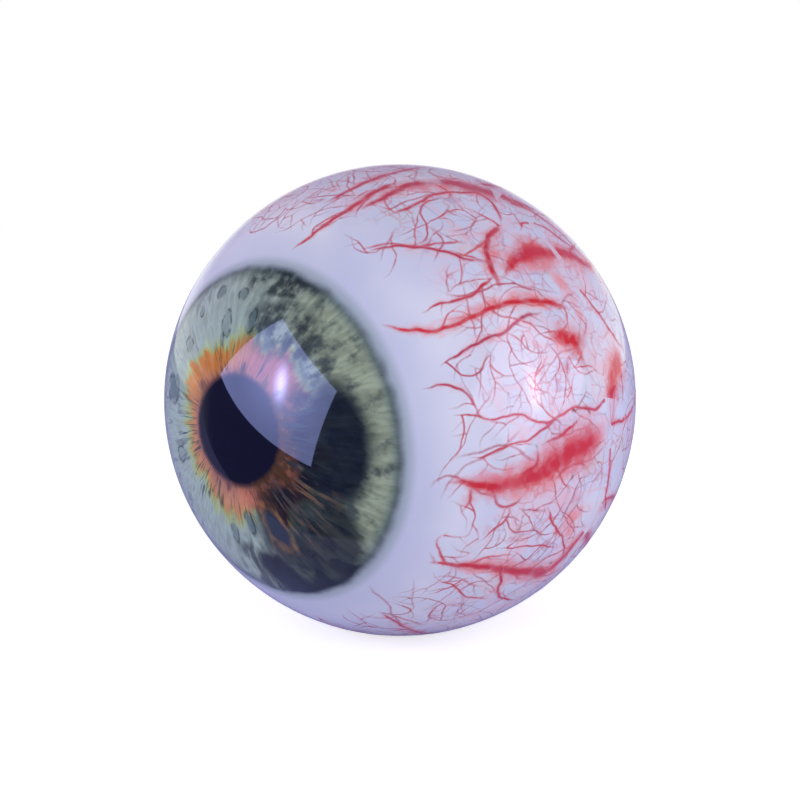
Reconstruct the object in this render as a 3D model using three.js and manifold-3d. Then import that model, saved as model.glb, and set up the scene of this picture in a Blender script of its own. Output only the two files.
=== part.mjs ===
// Take-apart anatomy model of a left eye, six times life size, in millimetres.
// The ball looks along -Y, with +Z up. The origin is the centre of the flat foot under it.
// Two printed half shells hold nested layers that lift out forwards, one after another, and
// the optic nerve pulls out of the back.

import * as THREE from 'three';
import { mergeVertices } from 'three/addons/utils/BufferGeometryUtils.js';
import Module from 'manifold-3d';

const wasm = await Module();
wasm.setup();

// Ball and its layers
const BALL_RADIUS = 72;
const SCLERA_WALL = 6.6;
const CHOROID_WALL = 2.2;
const RETINA_WALL = 1.8;
const FOOT_RADIUS = 16;
const PARTING_SETBACK = 4.5; // the parting plane lies this far behind the ball's centre

// Clearances
const LAYER_GAP = 0.3; // between nested layers, and round every piece that slides or is glued in
const PARTING_GAP = 0.3; // between the pieces that meet at the parting plane
const ORA_GAP = 0.4; // between the scalloped edges of the retina and the ciliary ring

// Iris
const LIMBUS_ANGLE = 40.4; // from the gaze axis to the rim of the iris
const IRIS_THICKNESS = 2.4;
const IRIS_RIM_BEVEL = 1.6;
const IRIS_EDGE_SLANT = 0.8; // how far the pupil's edge slants back from its narrowest place
const PUPIL_RADIUS = 14;
const COLLARETTE_RADIUS = 20.5; // the raised ring that divides the pupil zone from the rest
const COLLARETTE_HEIGHT = 0.7;

// Lens and its fibres
const LENS_RADIUS = 26;
const LENS_FRONT_CURVE = 60;
const LENS_REAR_CURVE = 36;
const LENS_EDGE = 4; // thickness at the rim
const LENS_EDGE_BEVEL = 0.9;
const LENS_SETBACK = 9.6; // from the rear face of the iris to the middle of the lens rim
const ZONULE_WIDTH = 3.6;
const ZONULE_THICKNESS = 1.2;
const ZONULE_RIM = 0.8; // width of the ring at each end of the fibres
const FIBRE_WIDTH = 0.9;

// Ciliary ring
const CROWN_FACE = 3.6; // width of the crown's front face
const CROWN_DEPTH = 10;
const CROWN_BEVEL = 1.2;
const PROCESS_COUNT = 36;
const PROCESS_WIDTH = 1.9;
const PROCESS_ROOT = 1; // how far a process is rooted in the crown
const PROCESS_FRONT_CURVE = 2; // height of its rounded front corner
const PROCESS_REAR_CURVE = 4.5; // and of the longer slope behind
const ORA_ANGLE = 59; // from the gaze axis to the hollows of the scalloped edge
const ORA_TEETH = 18;
const ORA_TOOTH_LENGTH = 3.2;

// Fovea
const FOVEA_RADIUS = 3.5;
const FOVEA_DEPTH = 0.8;

// Optic nerve
const NERVE_OFFSET = 20; // from the gaze axis towards the nose
const NERVE_RADIUS = 7.7;
const NERVE_HEAD_RADIUS = 5.2;
const NERVE_REACH = 14; // how far the sheath stands out behind the ball
const NERVE_STUB = 2; // how far the nerve stands out of its sheath
const VESSEL_STUB = 1.5; // how far its vessels stand out of the nerve
const SHEATH_WALL = 3;
const SHEATH_FLARE = 4.5; // how much wider the sheath is where it meets the ball
const SHEATH_FLARE_LENGTH = 12;
const SHEATH_FLARE_END = 1 / 3; // share of the sheath's reach at which the flare has run out
const SHEATH_SHOULDER_WIDTH = 0.35; // share of the flare left at its shoulder
const SHEATH_SHOULDER_SETBACK = 0.4; // share of the flare's length from its end to its shoulder
const SHEATH_BEVEL = 0.8;
const VESSEL_RADIUS = 1.2;
const VESSEL_SPACING = 3.8;

// Rim fasteners
const PIN_RADIUS = 1.5;
const PIN_LENGTH = 10;
const PIN_ANGLES = [0, 180];
const MAGNET_RADIUS = 2;
const MAGNET_THICKNESS = 3;
const MAGNET_RECESS = 0.2; // below the rim's face
const MAGNET_ANGLES = [45, 135, 225, 315];

// Facets
const SEGMENTS = 36; // round the gaze axis
const ARC_STEP = 11.25; // degrees along every arc about the ball's centre
const LENS_STEPS = 4;
const PROCESS_STEPS = 3; // along each curve of a ciliary process
const NERVE_SEGMENTS = 20;
const SMALL_SEGMENTS = 10;
const ORA_STEPS = 4; // along each tooth

// Sizes that follow from those above
const SCLERA_INNER = BALL_RADIUS - SCLERA_WALL;
const CHOROID_OUTER = SCLERA_INNER - LAYER_GAP;
const CHOROID_INNER = CHOROID_OUTER - CHOROID_WALL;
const RETINA_OUTER = CHOROID_INNER - LAYER_GAP;
const RETINA_INNER = RETINA_OUTER - RETINA_WALL;
const VITREOUS_RADIUS = RETINA_INNER - LAYER_GAP;

const FRONT_RIM_Y = PARTING_SETBACK - PARTING_GAP / 2;
const REAR_RIM_Y = PARTING_SETBACK + PARTING_GAP / 2;
const FOOT_Z = -Math.sqrt(BALL_RADIUS ** 2 - FOOT_RADIUS ** 2);

function point(radius, y) {
  return new THREE.Vector2(radius, y);
}

// Every layer's outline is cut from a polygon about the ball's centre, with a corner every
// ARC_STEP from the front pole. So the facets of nested layers run parallel and keep their gap.
function pointAt(radius, degrees) {
  const edge = Math.min(Math.floor(degrees / ARC_STEP), 180 / ARC_STEP - 1);
  const fromMiddle = THREE.MathUtils.degToRad(degrees - (edge + 0.5) * ARC_STEP);
  const reach = (radius * Math.cos(THREE.MathUtils.degToRad(ARC_STEP / 2))) / Math.cos(fromMiddle);
  const angle = THREE.MathUtils.degToRad(degrees);
  return point(reach * Math.sin(angle), -reach * Math.cos(angle));
}

// Angle from the front pole at which the polygon of this radius crosses a plane
function angleAt(radius, y) {
  const edge = Math.floor(THREE.MathUtils.radToDeg(Math.acos(-y / radius)) / ARC_STEP);
  const near = pointAt(radius, edge * ARC_STEP);
  const far = pointAt(radius, (edge + 1) * ARC_STEP);
  const crossing = near.lerp(far, (y - near.y) / (far.y - near.y));
  return THREE.MathUtils.radToDeg(Math.atan2(crossing.x, -crossing.y));
}

// Part of the polygon, from one angle to another
function arc(radius, from, to) {
  const [low, high] = [Math.min(from, to), Math.max(from, to)];
  const angles = [low];
  for (let corner = 0; corner < 180; corner += ARC_STEP) {
    if (corner > low && corner < high) angles.push(corner);
  }
  angles.push(high);
  const points = angles.map((angle) => pointAt(radius, angle));
  return from < to ? points : points.reverse();
}

// Points of a lens face: an arc about its own centre on the gaze axis, from the axis outwards
function lensFace(curve, widest, poleY, side) {
  const points = [];
  for (let step = 0; step <= LENS_STEPS; step += 1) {
    const angle = (widest * step) / LENS_STEPS;
    points.push(point(curve * Math.sin(angle), poleY + side * curve * (1 - Math.cos(angle))));
  }
  return points;
}

// Places of the iris, the ciliary crown, the lens and the vitreous face along the gaze axis
const LIMBUS = pointAt(CHOROID_OUTER, LIMBUS_ANGLE);
const IRIS_RADIUS = LIMBUS.x;
const IRIS_REAR_Y = LIMBUS.y + IRIS_RIM_BEVEL / 2;
const IRIS_FRONT_Y = IRIS_REAR_Y - IRIS_THICKNESS;
const CROWN_FRONT_Y = IRIS_REAR_Y + LAYER_GAP;
const CROWN_REAR_Y = CROWN_FRONT_Y + CROWN_DEPTH;
const VITREOUS_FACE_Y = CROWN_REAR_Y + LAYER_GAP;
const LENS_Y = IRIS_REAR_Y + LENS_SETBACK;

// Rings between the lens and the ciliary crown
const ZONULE_INNER = LENS_RADIUS + LAYER_GAP;
const ZONULE_OUTER = ZONULE_INNER + ZONULE_WIDTH;
const PROCESS_TIP_RADIUS = ZONULE_OUTER + LAYER_GAP;
const CROWN_OUTER_RADIUS = pointAt(RETINA_OUTER, angleAt(RETINA_OUTER, CROWN_FRONT_Y)).x;
const CROWN_INNER_RADIUS = CROWN_OUTER_RADIUS - CROWN_FACE;

// A solid for cutting and joining, from any closed geometry
function solid(geometry) {
  const bare = geometry.clone();
  bare.deleteAttribute('normal');
  bare.deleteAttribute('uv');
  const merged = mergeVertices(bare);
  const corners = merged.index.array;
  const triangles = [];
  for (let i = 0; i < corners.length; i += 3) {
    const [a, b, c] = [corners[i], corners[i + 1], corners[i + 2]];
    if (a !== b && b !== c && c !== a) triangles.push(a, b, c);
  }
  return new wasm.Manifold(new wasm.Mesh({
    numProp: 3,
    vertProperties: Float32Array.from(merged.attributes.position.array),
    triVerts: Uint32Array.from(triangles),
  }));
}

// A turned solid about the gaze axis. The outline runs with the outside on its right.
function turned(outline, segments = SEGMENTS) {
  return solid(new THREE.LatheGeometry(outline, segments));
}

function closed(outline) {
  return [...outline, outline[0].clone()];
}

function ball(radius) {
  return turned(arc(radius, 0, 180));
}

// A rod parallel to the gaze axis, from one y to another
function rod(radius, fromY, toY, x, z, segments) {
  const geometry = new THREE.CylinderGeometry(radius, radius, toY - fromY, segments);
  geometry.translate(x, (fromY + toY) / 2, z);
  return solid(geometry);
}

function mesh(name, manifold, color, roughness, metalness = 0) {
  const made = manifold.getMesh();
  const geometry = new THREE.BufferGeometry();
  geometry.setAttribute('position', new THREE.BufferAttribute(made.vertProperties, 3));
  geometry.setIndex(new THREE.BufferAttribute(made.triVerts, 1));
  const flat = geometry.toNonIndexed();
  flat.computeVertexNormals();
  const material = new THREE.MeshStandardMaterial({ color, roughness, metalness });
  const node = new THREE.Mesh(flat, material);
  node.name = name;
  return node;
}

// Places round the rim, in the middle of the shell's wall
const RIM_RADIUS = (BALL_RADIUS + SCLERA_INNER) / 2;

function rimPlace(degrees) {
  const angle = THREE.MathUtils.degToRad(degrees);
  return [RIM_RADIUS * Math.cos(angle), RIM_RADIUS * Math.sin(angle)];
}

// Cuts the flat foot, the pin holes and the magnet pockets into a half shell.
// side is 1 for the rear shell and -1 for the front one.
function finishShell(shell, rimY, side) {
  const footBlock = new THREE.BoxGeometry(2 * BALL_RADIUS, 2 * BALL_RADIUS, BALL_RADIUS);
  footBlock.translate(0, 0, FOOT_Z - BALL_RADIUS / 2);
  let cut = shell.subtract(solid(footBlock));
  const pinDepth = PIN_LENGTH / 2 + LAYER_GAP;
  const magnetDepth = MAGNET_RECESS + MAGNET_THICKNESS + LAYER_GAP;
  const pockets = [
    ...PIN_ANGLES.map((angle) => [angle, PIN_RADIUS, pinDepth]),
    ...MAGNET_ANGLES.map((angle) => [angle, MAGNET_RADIUS, magnetDepth]),
  ];
  for (const [angle, radius, depth] of pockets) {
    const [x, z] = rimPlace(angle);
    const [near, far] = [rimY - side * PARTING_GAP, rimY + side * depth].sort((a, b) => a - b);
    cut = cut.subtract(rod(radius + LAYER_GAP, near, far, x, z, SMALL_SEGMENTS));
  }
  return cut;
}

// Front shell: inside it runs straight back from the ball's widest circle, so what it
// covers isn't trapped.
function frontShell() {
  const outline = [
    ...arc(BALL_RADIUS, 0, angleAt(BALL_RADIUS, FRONT_RIM_Y)),
    point(SCLERA_INNER, FRONT_RIM_Y),
    ...arc(SCLERA_INNER, 90, 0),
  ];
  return finishShell(turned(outline), FRONT_RIM_Y, -1);
}

function rearShell() {
  const outline = [
    ...arc(SCLERA_INNER, 180, angleAt(SCLERA_INNER, REAR_RIM_Y)),
    ...arc(BALL_RADIUS, angleAt(BALL_RADIUS, REAR_RIM_Y), 180),
  ];
  const nerveHole = rod(
    NERVE_RADIUS + LAYER_GAP, 0, 2 * BALL_RADIUS, -NERVE_OFFSET, 0, NERVE_SEGMENTS,
  );
  return finishShell(turned(outline), REAR_RIM_Y, 1).subtract(nerveHole);
}

// A cup that lines the rear half, with the hole for the nerve head. pit is the part of its
// inner outline that differs from the ball's curve, which starts again at pitAngle.
function rearCup(outer, inner, pit, pitAngle) {
  const outline = [
    ...pit,
    ...arc(inner, pitAngle, angleAt(inner, REAR_RIM_Y)),
    ...arc(outer, angleAt(outer, REAR_RIM_Y), 180),
  ];
  const headHole = rod(
    NERVE_HEAD_RADIUS + LAYER_GAP, 0, 2 * BALL_RADIUS, -NERVE_OFFSET, 0, NERVE_SEGMENTS,
  );
  return turned(outline).subtract(headHole);
}

function choroidCup() {
  return rearCup(CHOROID_OUTER, CHOROID_INNER, [], 180);
}

// Retina cup, with the pit of the fovea on the gaze axis
function retinaCup() {
  const pitAngle = 180 - THREE.MathUtils.radToDeg(Math.asin(FOVEA_RADIUS / RETINA_INNER));
  return rearCup(RETINA_OUTER, RETINA_INNER, [point(0, RETINA_INNER + FOVEA_DEPTH)], pitAngle);
}

const LENS_FACE_RADIUS = LENS_RADIUS - LENS_EDGE_BEVEL;
const LENS_FRONT_ANGLE = Math.asin(LENS_FACE_RADIUS / LENS_FRONT_CURVE);
const LENS_REAR_ANGLE = Math.asin(LENS_FACE_RADIUS / LENS_REAR_CURVE);
const LENS_FRONT_POLE_Y = LENS_Y - LENS_EDGE / 2 - LENS_FRONT_CURVE * (1 - Math.cos(LENS_FRONT_ANGLE));
const LENS_REAR_POLE_Y = LENS_Y + LENS_EDGE / 2 + LENS_REAR_CURVE * (1 - Math.cos(LENS_REAR_ANGLE));
const LENS_SHOULDER_Y = LENS_Y + LENS_EDGE / 2 - LENS_EDGE_BEVEL;

function crystallineLens() {
  return turned([
    ...lensFace(LENS_FRONT_CURVE, LENS_FRONT_ANGLE, LENS_FRONT_POLE_Y, 1),
    point(LENS_RADIUS, LENS_Y - LENS_EDGE / 2 + LENS_EDGE_BEVEL),
    point(LENS_RADIUS, LENS_SHOULDER_Y),
    ...lensFace(LENS_REAR_CURVE, LENS_REAR_ANGLE, LENS_REAR_POLE_Y, -1).reverse(),
  ]);
}

// Vitreous body: a clear ball with a flat face behind the ciliary ring, and in it the
// dimple that holds the back of the lens and clears its zonule.
function vitreousBody() {
  const rearPoleY = LENS_REAR_POLE_Y + LAYER_GAP;
  const zonuleRearY = LENS_Y + ZONULE_THICKNESS / 2 + LAYER_GAP;
  const dimple = turned([
    point(0, -BALL_RADIUS),
    point(ZONULE_OUTER + LAYER_GAP, -BALL_RADIUS),
    point(ZONULE_OUTER + LAYER_GAP, zonuleRearY),
    point(ZONULE_INNER, zonuleRearY),
    point(ZONULE_INNER, Math.max(LENS_SHOULDER_Y + LAYER_GAP, zonuleRearY)),
    ...lensFace(LENS_REAR_CURVE + LAYER_GAP, LENS_REAR_ANGLE, rearPoleY, -1).reverse(),
  ]);
  return turned([
    point(0, VITREOUS_FACE_Y),
    ...arc(VITREOUS_RADIUS, angleAt(VITREOUS_RADIUS, VITREOUS_FACE_Y), 180),
  ]).subtract(dimple);
}

// Zonule ring: two thin rings joined by one fibre for each ciliary process
function zonuleRing() {
  const [frontY, rearY] = [LENS_Y - ZONULE_THICKNESS / 2, LENS_Y + ZONULE_THICKNESS / 2];
  const flatRing = (from, to) => turned(closed([
    point(from, frontY), point(to, frontY), point(to, rearY), point(from, rearY),
  ]));
  let ring = flatRing(ZONULE_INNER, ZONULE_INNER + ZONULE_RIM)
    .add(flatRing(ZONULE_OUTER - ZONULE_RIM, ZONULE_OUTER));
  for (let i = 0; i < PROCESS_COUNT; i += 1) {
    const fibre = new THREE.BoxGeometry(ZONULE_WIDTH - ZONULE_RIM, ZONULE_THICKNESS, FIBRE_WIDTH);
    fibre.translate((ZONULE_INNER + ZONULE_OUTER) / 2, LENS_Y, 0);
    fibre.rotateY((2 * Math.PI * (i + 0.5)) / PROCESS_COUNT);
    ring = ring.add(solid(fibre));
  }
  return ring;
}

// Everything in front of the ora serrata, the scalloped line where the retina ends: a cone
// about the ball's centre whose edge is a row of teeth. shift moves the edge along the ball.
function oraCone(shift) {
  const reach = 2 * BALL_RADIUS;
  const count = ORA_TEETH * ORA_STEPS;
  const toothAngle = ORA_TOOTH_LENGTH / RETINA_INNER;
  const corners = [0, 0, 0, 0, -reach, 0];
  for (let i = 0; i < count; i += 1) {
    const azimuth = (2 * Math.PI * i) / count;
    const rise = Math.abs(Math.sin((azimuth * ORA_TEETH) / 2));
    const angle = THREE.MathUtils.degToRad(ORA_ANGLE) + toothAngle * rise + shift / RETINA_INNER;
    corners.push(
      reach * Math.sin(angle) * Math.sin(azimuth),
      -reach * Math.cos(angle),
      reach * Math.sin(angle) * Math.cos(azimuth),
    );
  }
  const triangles = [];
  for (let i = 0; i < count; i += 1) {
    const [here, next] = [2 + i, 2 + ((i + 1) % count)];
    triangles.push(0, here, next, 1, next, here);
  }
  const geometry = new THREE.BufferGeometry();
  geometry.setAttribute('position', new THREE.Float32BufferAttribute(corners, 3));
  geometry.setIndex(triangles);
  return solid(geometry);
}

// A layer of the front half, from the parting plane forwards to a plane. Inside it runs
// straight back from the ball's widest circle, as the front shell does.
function frontBand(outer, inner, frontY) {
  return turned(closed([
    ...arc(outer, angleAt(outer, frontY), angleAt(outer, FRONT_RIM_Y)),
    point(inner, FRONT_RIM_Y),
    ...arc(inner, 90, angleAt(inner, frontY)),
  ]));
}

function frontChoroidRing() {
  return frontBand(CHOROID_OUTER, CHOROID_INNER, CROWN_FRONT_Y);
}

function frontRetinaRing() {
  return frontBand(RETINA_OUTER, RETINA_INNER, CROWN_REAR_Y).subtract(oraCone(ORA_GAP / 2));
}

// One ciliary process, seen from the side: a rounded fin that leans towards the lens
function ciliaryProcess() {
  const root = CROWN_INNER_RADIUS + PROCESS_ROOT;
  const frontY = CROWN_FRONT_Y + CROWN_BEVEL;
  const rearY = CROWN_REAR_Y - CROWN_BEVEL;
  const shape = new THREE.Shape();
  shape.moveTo(root, frontY);
  shape.quadraticCurveTo(
    PROCESS_TIP_RADIUS, frontY, PROCESS_TIP_RADIUS, frontY + PROCESS_FRONT_CURVE,
  );
  shape.lineTo(PROCESS_TIP_RADIUS, rearY - PROCESS_REAR_CURVE);
  shape.quadraticCurveTo(PROCESS_TIP_RADIUS, rearY, root, rearY);
  const fin = new THREE.ExtrudeGeometry(shape, {
    depth: PROCESS_WIDTH, bevelEnabled: false, curveSegments: PROCESS_STEPS,
  });
  fin.translate(0, 0, -PROCESS_WIDTH / 2);
  return solid(fin);
}

// Ciliary ring: the crown with its processes, and the thin pars plana that runs back from
// it to the scalloped edge.
function ciliaryRing() {
  const beyondOra = ORA_ANGLE + ARC_STEP;
  let ring = turned(closed([
    point(CROWN_INNER_RADIUS, CROWN_FRONT_Y + CROWN_BEVEL),
    point(CROWN_INNER_RADIUS + CROWN_BEVEL, CROWN_FRONT_Y),
    ...arc(RETINA_OUTER, angleAt(RETINA_OUTER, CROWN_FRONT_Y), beyondOra),
    ...arc(RETINA_INNER, beyondOra, angleAt(RETINA_INNER, CROWN_REAR_Y)),
    point(CROWN_INNER_RADIUS + CROWN_BEVEL, CROWN_REAR_Y),
    point(CROWN_INNER_RADIUS, CROWN_REAR_Y - CROWN_BEVEL),
  ])).intersect(oraCone(-ORA_GAP / 2));
  const process = ciliaryProcess();
  for (let i = 0; i < PROCESS_COUNT; i += 1) {
    ring = ring.add(process.rotate([0, (360 * (i + 0.5)) / PROCESS_COUNT, 0]));
  }
  return ring;
}

// Iris: a disc with the pupil in it, raised a little at the collarette
function irisDisc() {
  const pupilEdge = PUPIL_RADIUS + IRIS_EDGE_SLANT;
  return turned(closed([
    point(pupilEdge, IRIS_REAR_Y),
    point(PUPIL_RADIUS, IRIS_REAR_Y - IRIS_EDGE_SLANT),
    point(pupilEdge, IRIS_FRONT_Y),
    point(COLLARETTE_RADIUS, IRIS_FRONT_Y - COLLARETTE_HEIGHT),
    point((COLLARETTE_RADIUS + IRIS_RADIUS) / 2, IRIS_FRONT_Y),
    point(IRIS_RADIUS - IRIS_THICKNESS, IRIS_FRONT_Y),
    point(IRIS_RADIUS, LIMBUS.y),
    point(IRIS_RADIUS, IRIS_REAR_Y),
  ]));
}

// The optic nerve lies parallel to the gaze axis, on the side of the nose.
const SHEATH_END_Y = BALL_RADIUS + NERVE_REACH;
const NERVE_END_Y = SHEATH_END_Y + NERVE_STUB;
const VESSEL_END_Y = NERVE_END_Y + VESSEL_STUB;
const ARTERY_X = -NERVE_OFFSET - VESSEL_SPACING / 2;
const VEIN_X = -NERVE_OFFSET + VESSEL_SPACING / 2;

// Nerve: thick through the sclera, narrow at its head, which ends flush with the retina
function nerveCore() {
  const trunk = rod(NERVE_RADIUS, 0, NERVE_END_Y, -NERVE_OFFSET, 0, NERVE_SEGMENTS)
    .subtract(ball(SCLERA_INNER));
  const head = rod(NERVE_HEAD_RADIUS, 0, SHEATH_END_Y, -NERVE_OFFSET, 0, NERVE_SEGMENTS)
    .subtract(ball(RETINA_INNER));
  let core = trunk.add(head);
  for (const x of [ARTERY_X, VEIN_X]) {
    const bore = rod(VESSEL_RADIUS + LAYER_GAP, 0, 2 * BALL_RADIUS, x, 0, SMALL_SEGMENTS);
    core = core.subtract(bore);
  }
  return core;
}

function nerveVessel(x) {
  return rod(VESSEL_RADIUS, 0, VESSEL_END_Y, x, 0, SMALL_SEGMENTS).subtract(ball(RETINA_INNER));
}

// Sheath: a tube that flares out and is coped to sit on the ball
function nerveSheath() {
  const bore = NERVE_RADIUS + LAYER_GAP;
  const outer = bore + SHEATH_WALL;
  const flareEndY = BALL_RADIUS + NERVE_REACH * SHEATH_FLARE_END;
  const flareStartY = flareEndY - SHEATH_FLARE_LENGTH;
  const shoulderY = flareEndY - SHEATH_FLARE_LENGTH * SHEATH_SHOULDER_SETBACK;
  const sheath = solid(new THREE.LatheGeometry(closed([
    point(bore, flareStartY),
    point(outer + SHEATH_FLARE, flareStartY),
    point(outer + SHEATH_FLARE * SHEATH_SHOULDER_WIDTH, shoulderY),
    point(outer, flareEndY),
    point(outer, SHEATH_END_Y - SHEATH_BEVEL),
    point(outer - SHEATH_BEVEL, SHEATH_END_Y),
    point(bore, SHEATH_END_Y),
  ]), NERVE_SEGMENTS));
  return sheath.translate([-NERVE_OFFSET, 0, 0]).subtract(ball(BALL_RADIUS + LAYER_GAP));
}

// Colours
const SCLERA_WHITE = 0xd5d5ec;
const CHOROID_BROWN = 0x5a2a22;
const RETINA_ORANGE = 0xd0704a;
const VITREOUS_CLEAR = 0xdfeaf0;
const LENS_CLEAR = 0xeef0d8;
const ZONULE_PALE = 0xe8e0d0;
const CILIARY_BROWN = 0x4a2620;
const IRIS_GREEN = 0x7d8f86;
const NERVE_YELLOW = 0xe8cf8a;
const SHEATH_PALE = 0xe4dccb;
const ARTERY_RED = 0xb01f1f;
const VEIN_BLUE = 0x2c3f8f;
const STEEL = 0xb8bcc2;
const MAGNET_NICKEL = 0xa9adb3;

// Each group moves as one body and carries the group in front of it.
const rearHalf = new THREE.Group();
const opticNerve = new THREE.Group();
const choroid = new THREE.Group();
const retina = new THREE.Group();
const vitreous = new THREE.Group();
const lens = new THREE.Group();
const irisUnit = new THREE.Group();
const frontHalf = new THREE.Group();

rearHalf.add(mesh('rear_sclera_shell', rearShell(), SCLERA_WHITE, 0.12), opticNerve, choroid);
opticNerve.add(
  mesh('nerve_sheath', nerveSheath(), SHEATH_PALE, 0.5),
  mesh('nerve_core', nerveCore(), NERVE_YELLOW, 0.5),
  mesh('retinal_artery', nerveVessel(ARTERY_X), ARTERY_RED, 0.4),
  mesh('retinal_vein', nerveVessel(VEIN_X), VEIN_BLUE, 0.4),
);
choroid.add(mesh('choroid_cup', choroidCup(), CHOROID_BROWN, 0.5), retina);
retina.add(mesh('retina_cup', retinaCup(), RETINA_ORANGE, 0.45), vitreous);
vitreous.add(mesh('vitreous_body', vitreousBody(), VITREOUS_CLEAR, 0.05), lens);
lens.add(
  mesh('crystalline_lens', crystallineLens(), LENS_CLEAR, 0.05),
  mesh('zonule_ring', zonuleRing(), ZONULE_PALE, 0.4),
  irisUnit,
);
irisUnit.add(
  mesh('ciliary_ring', ciliaryRing(), CILIARY_BROWN, 0.5),
  mesh('front_choroid_ring', frontChoroidRing(), CHOROID_BROWN, 0.5),
  mesh('front_retina_ring', frontRetinaRing(), RETINA_ORANGE, 0.45),
  mesh('iris_disc', irisDisc(), IRIS_GREEN, 0.4),
  frontHalf,
);
frontHalf.add(mesh('front_sclera_shell', frontShell(), SCLERA_WHITE, 0.12));

PIN_ANGLES.forEach((angle, i) => {
  const [x, z] = rimPlace(angle);
  const fromY = PARTING_SETBACK - PIN_LENGTH / 2;
  const pin = rod(PIN_RADIUS, fromY, fromY + PIN_LENGTH, x, z, SMALL_SEGMENTS);
  rearHalf.add(mesh(`rim_pin_${i + 1}`, pin, STEEL, 0.25, 1));
});

MAGNET_ANGLES.forEach((angle, i) => {
  const [x, z] = rimPlace(angle);
  const rearY = REAR_RIM_Y + MAGNET_RECESS;
  const rearDisc = rod(MAGNET_RADIUS, rearY, rearY + MAGNET_THICKNESS, x, z, SMALL_SEGMENTS);
  rearHalf.add(mesh(`rear_magnet_${i + 1}`, rearDisc, MAGNET_NICKEL, 0.3, 1));
  const frontY = FRONT_RIM_Y - MAGNET_RECESS;
  const frontDisc = rod(MAGNET_RADIUS, frontY - MAGNET_THICKNESS, frontY, x, z, SMALL_SEGMENTS);
  frontHalf.add(mesh(`front_magnet_${i + 1}`, frontDisc, MAGNET_NICKEL, 0.3, 1));
});

// The foot's plane is z = 0.
const eyeModel = new THREE.Group();
eyeModel.position.z = -FOOT_Z;
eyeModel.add(rearHalf);

export default eyeModel;
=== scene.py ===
import bmesh
import bpy
import math
import random
from mathutils import Matrix, Quaternion, Vector, kdtree


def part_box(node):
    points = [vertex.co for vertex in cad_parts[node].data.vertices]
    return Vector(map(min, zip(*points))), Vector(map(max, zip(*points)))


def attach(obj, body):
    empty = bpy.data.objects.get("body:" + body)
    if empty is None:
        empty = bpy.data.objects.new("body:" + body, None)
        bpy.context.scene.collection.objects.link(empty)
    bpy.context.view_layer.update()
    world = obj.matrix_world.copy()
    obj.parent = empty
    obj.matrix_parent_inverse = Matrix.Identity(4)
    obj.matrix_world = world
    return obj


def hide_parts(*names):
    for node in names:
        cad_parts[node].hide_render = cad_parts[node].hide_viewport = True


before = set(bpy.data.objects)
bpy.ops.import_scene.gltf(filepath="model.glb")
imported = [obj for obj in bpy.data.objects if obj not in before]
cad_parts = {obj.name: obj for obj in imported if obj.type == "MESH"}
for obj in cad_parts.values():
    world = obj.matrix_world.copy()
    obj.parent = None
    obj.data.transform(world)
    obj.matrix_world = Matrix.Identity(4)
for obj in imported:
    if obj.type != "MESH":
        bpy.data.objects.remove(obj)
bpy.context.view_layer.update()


# Rear half shell: a moulded half ball of white plastic with a small flat to stand on.
# The outside is printed like the white of an eye and sealed with a polished clear coat.
# Steel pins and disc magnets in its rim hold the front half.

MILLIMETRE = 0.001
INSIDE_CAD = 0.0001
front_low, front_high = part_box("front_sclera_shell")
FULL_RADIUS = (front_high.x - front_low.x) / 2
BALL_CENTRE = Vector((0, 0, front_high.z - FULL_RADIUS))
BALL_RADIUS = FULL_RADIUS - INSIDE_CAD
SHELL_WALL = 0.0066
INNER_RADIUS = BALL_RADIUS - SHELL_WALL
PARTING_Y = 0.0045
PARTING_HALF_GAP = 0.00004
SHELL_STEPS = 300
OUTER_STEPS = 150
INNER_STEPS = 60
PIN_POCKET_RADIUS = 0.0016
PIN_POCKET_DEPTH = 0.0053
MAGNET_POCKET_RADIUS = 0.0021
MAGNET_POCKET_DEPTH = 0.0034
NERVE_OFFSET = 0.020
NERVE_HOLE_RADIUS = 0.008
SAME_PLACE = 1e-6
PRINT_SKIN = 0.00005
PRINTED_FACE_AREA = 1e-5
FOOT_SKIN = 0.00001
PLASTIC_WHITE = (0.78, 0.78, 0.8, 1)
PIN_NODES = ["rim_pin_1", "rim_pin_2"]
REAR_MAGNET_NODES = [f"rear_magnet_{number}" for number in range(1, 5)]
FRONT_MAGNET_NODES = [f"front_magnet_{number}" for number in range(1, 5)]


def ball_arc(radius, first_polar, last_polar, steps):
    """Points of an arc about the ball's centre: distance from the gaze axis and place along it"""
    polars = [first_polar + (last_polar - first_polar) * step / steps for step in range(steps + 1)]
    return [(radius * math.sin(polar), -radius * math.cos(polar)) for polar in polars]


def rim_polar(radius, along):
    """The angle from the gaze at which a sphere of this radius meets the plane y = along"""
    return math.acos(-along / radius)


def as_mesh(name, shape):
    """Turns a bmesh into a mesh and frees it"""
    mesh = bpy.data.meshes.new(name)
    shape.to_mesh(mesh)
    shape.free()
    return mesh


def add_object(name, data):
    """Puts a mesh, lamp or camera into the scene"""
    made = bpy.data.objects.new(name, data)
    bpy.context.scene.collection.objects.link(made)
    return made


def finished(name, shape, materials, body, nodes, sharp=35):
    """Turns a bmesh into a smooth piece that rides on a body and stands for CAD nodes"""
    for face in shape.faces:
        face.smooth = True
    mesh = as_mesh(name, shape)
    mesh.set_sharp_from_angle(angle=math.radians(sharp))
    for material in materials:
        mesh.materials.append(material)
    piece = add_object(name, mesh)
    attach(piece, body)
    if nodes:
        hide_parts(*nodes)
    return piece


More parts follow.
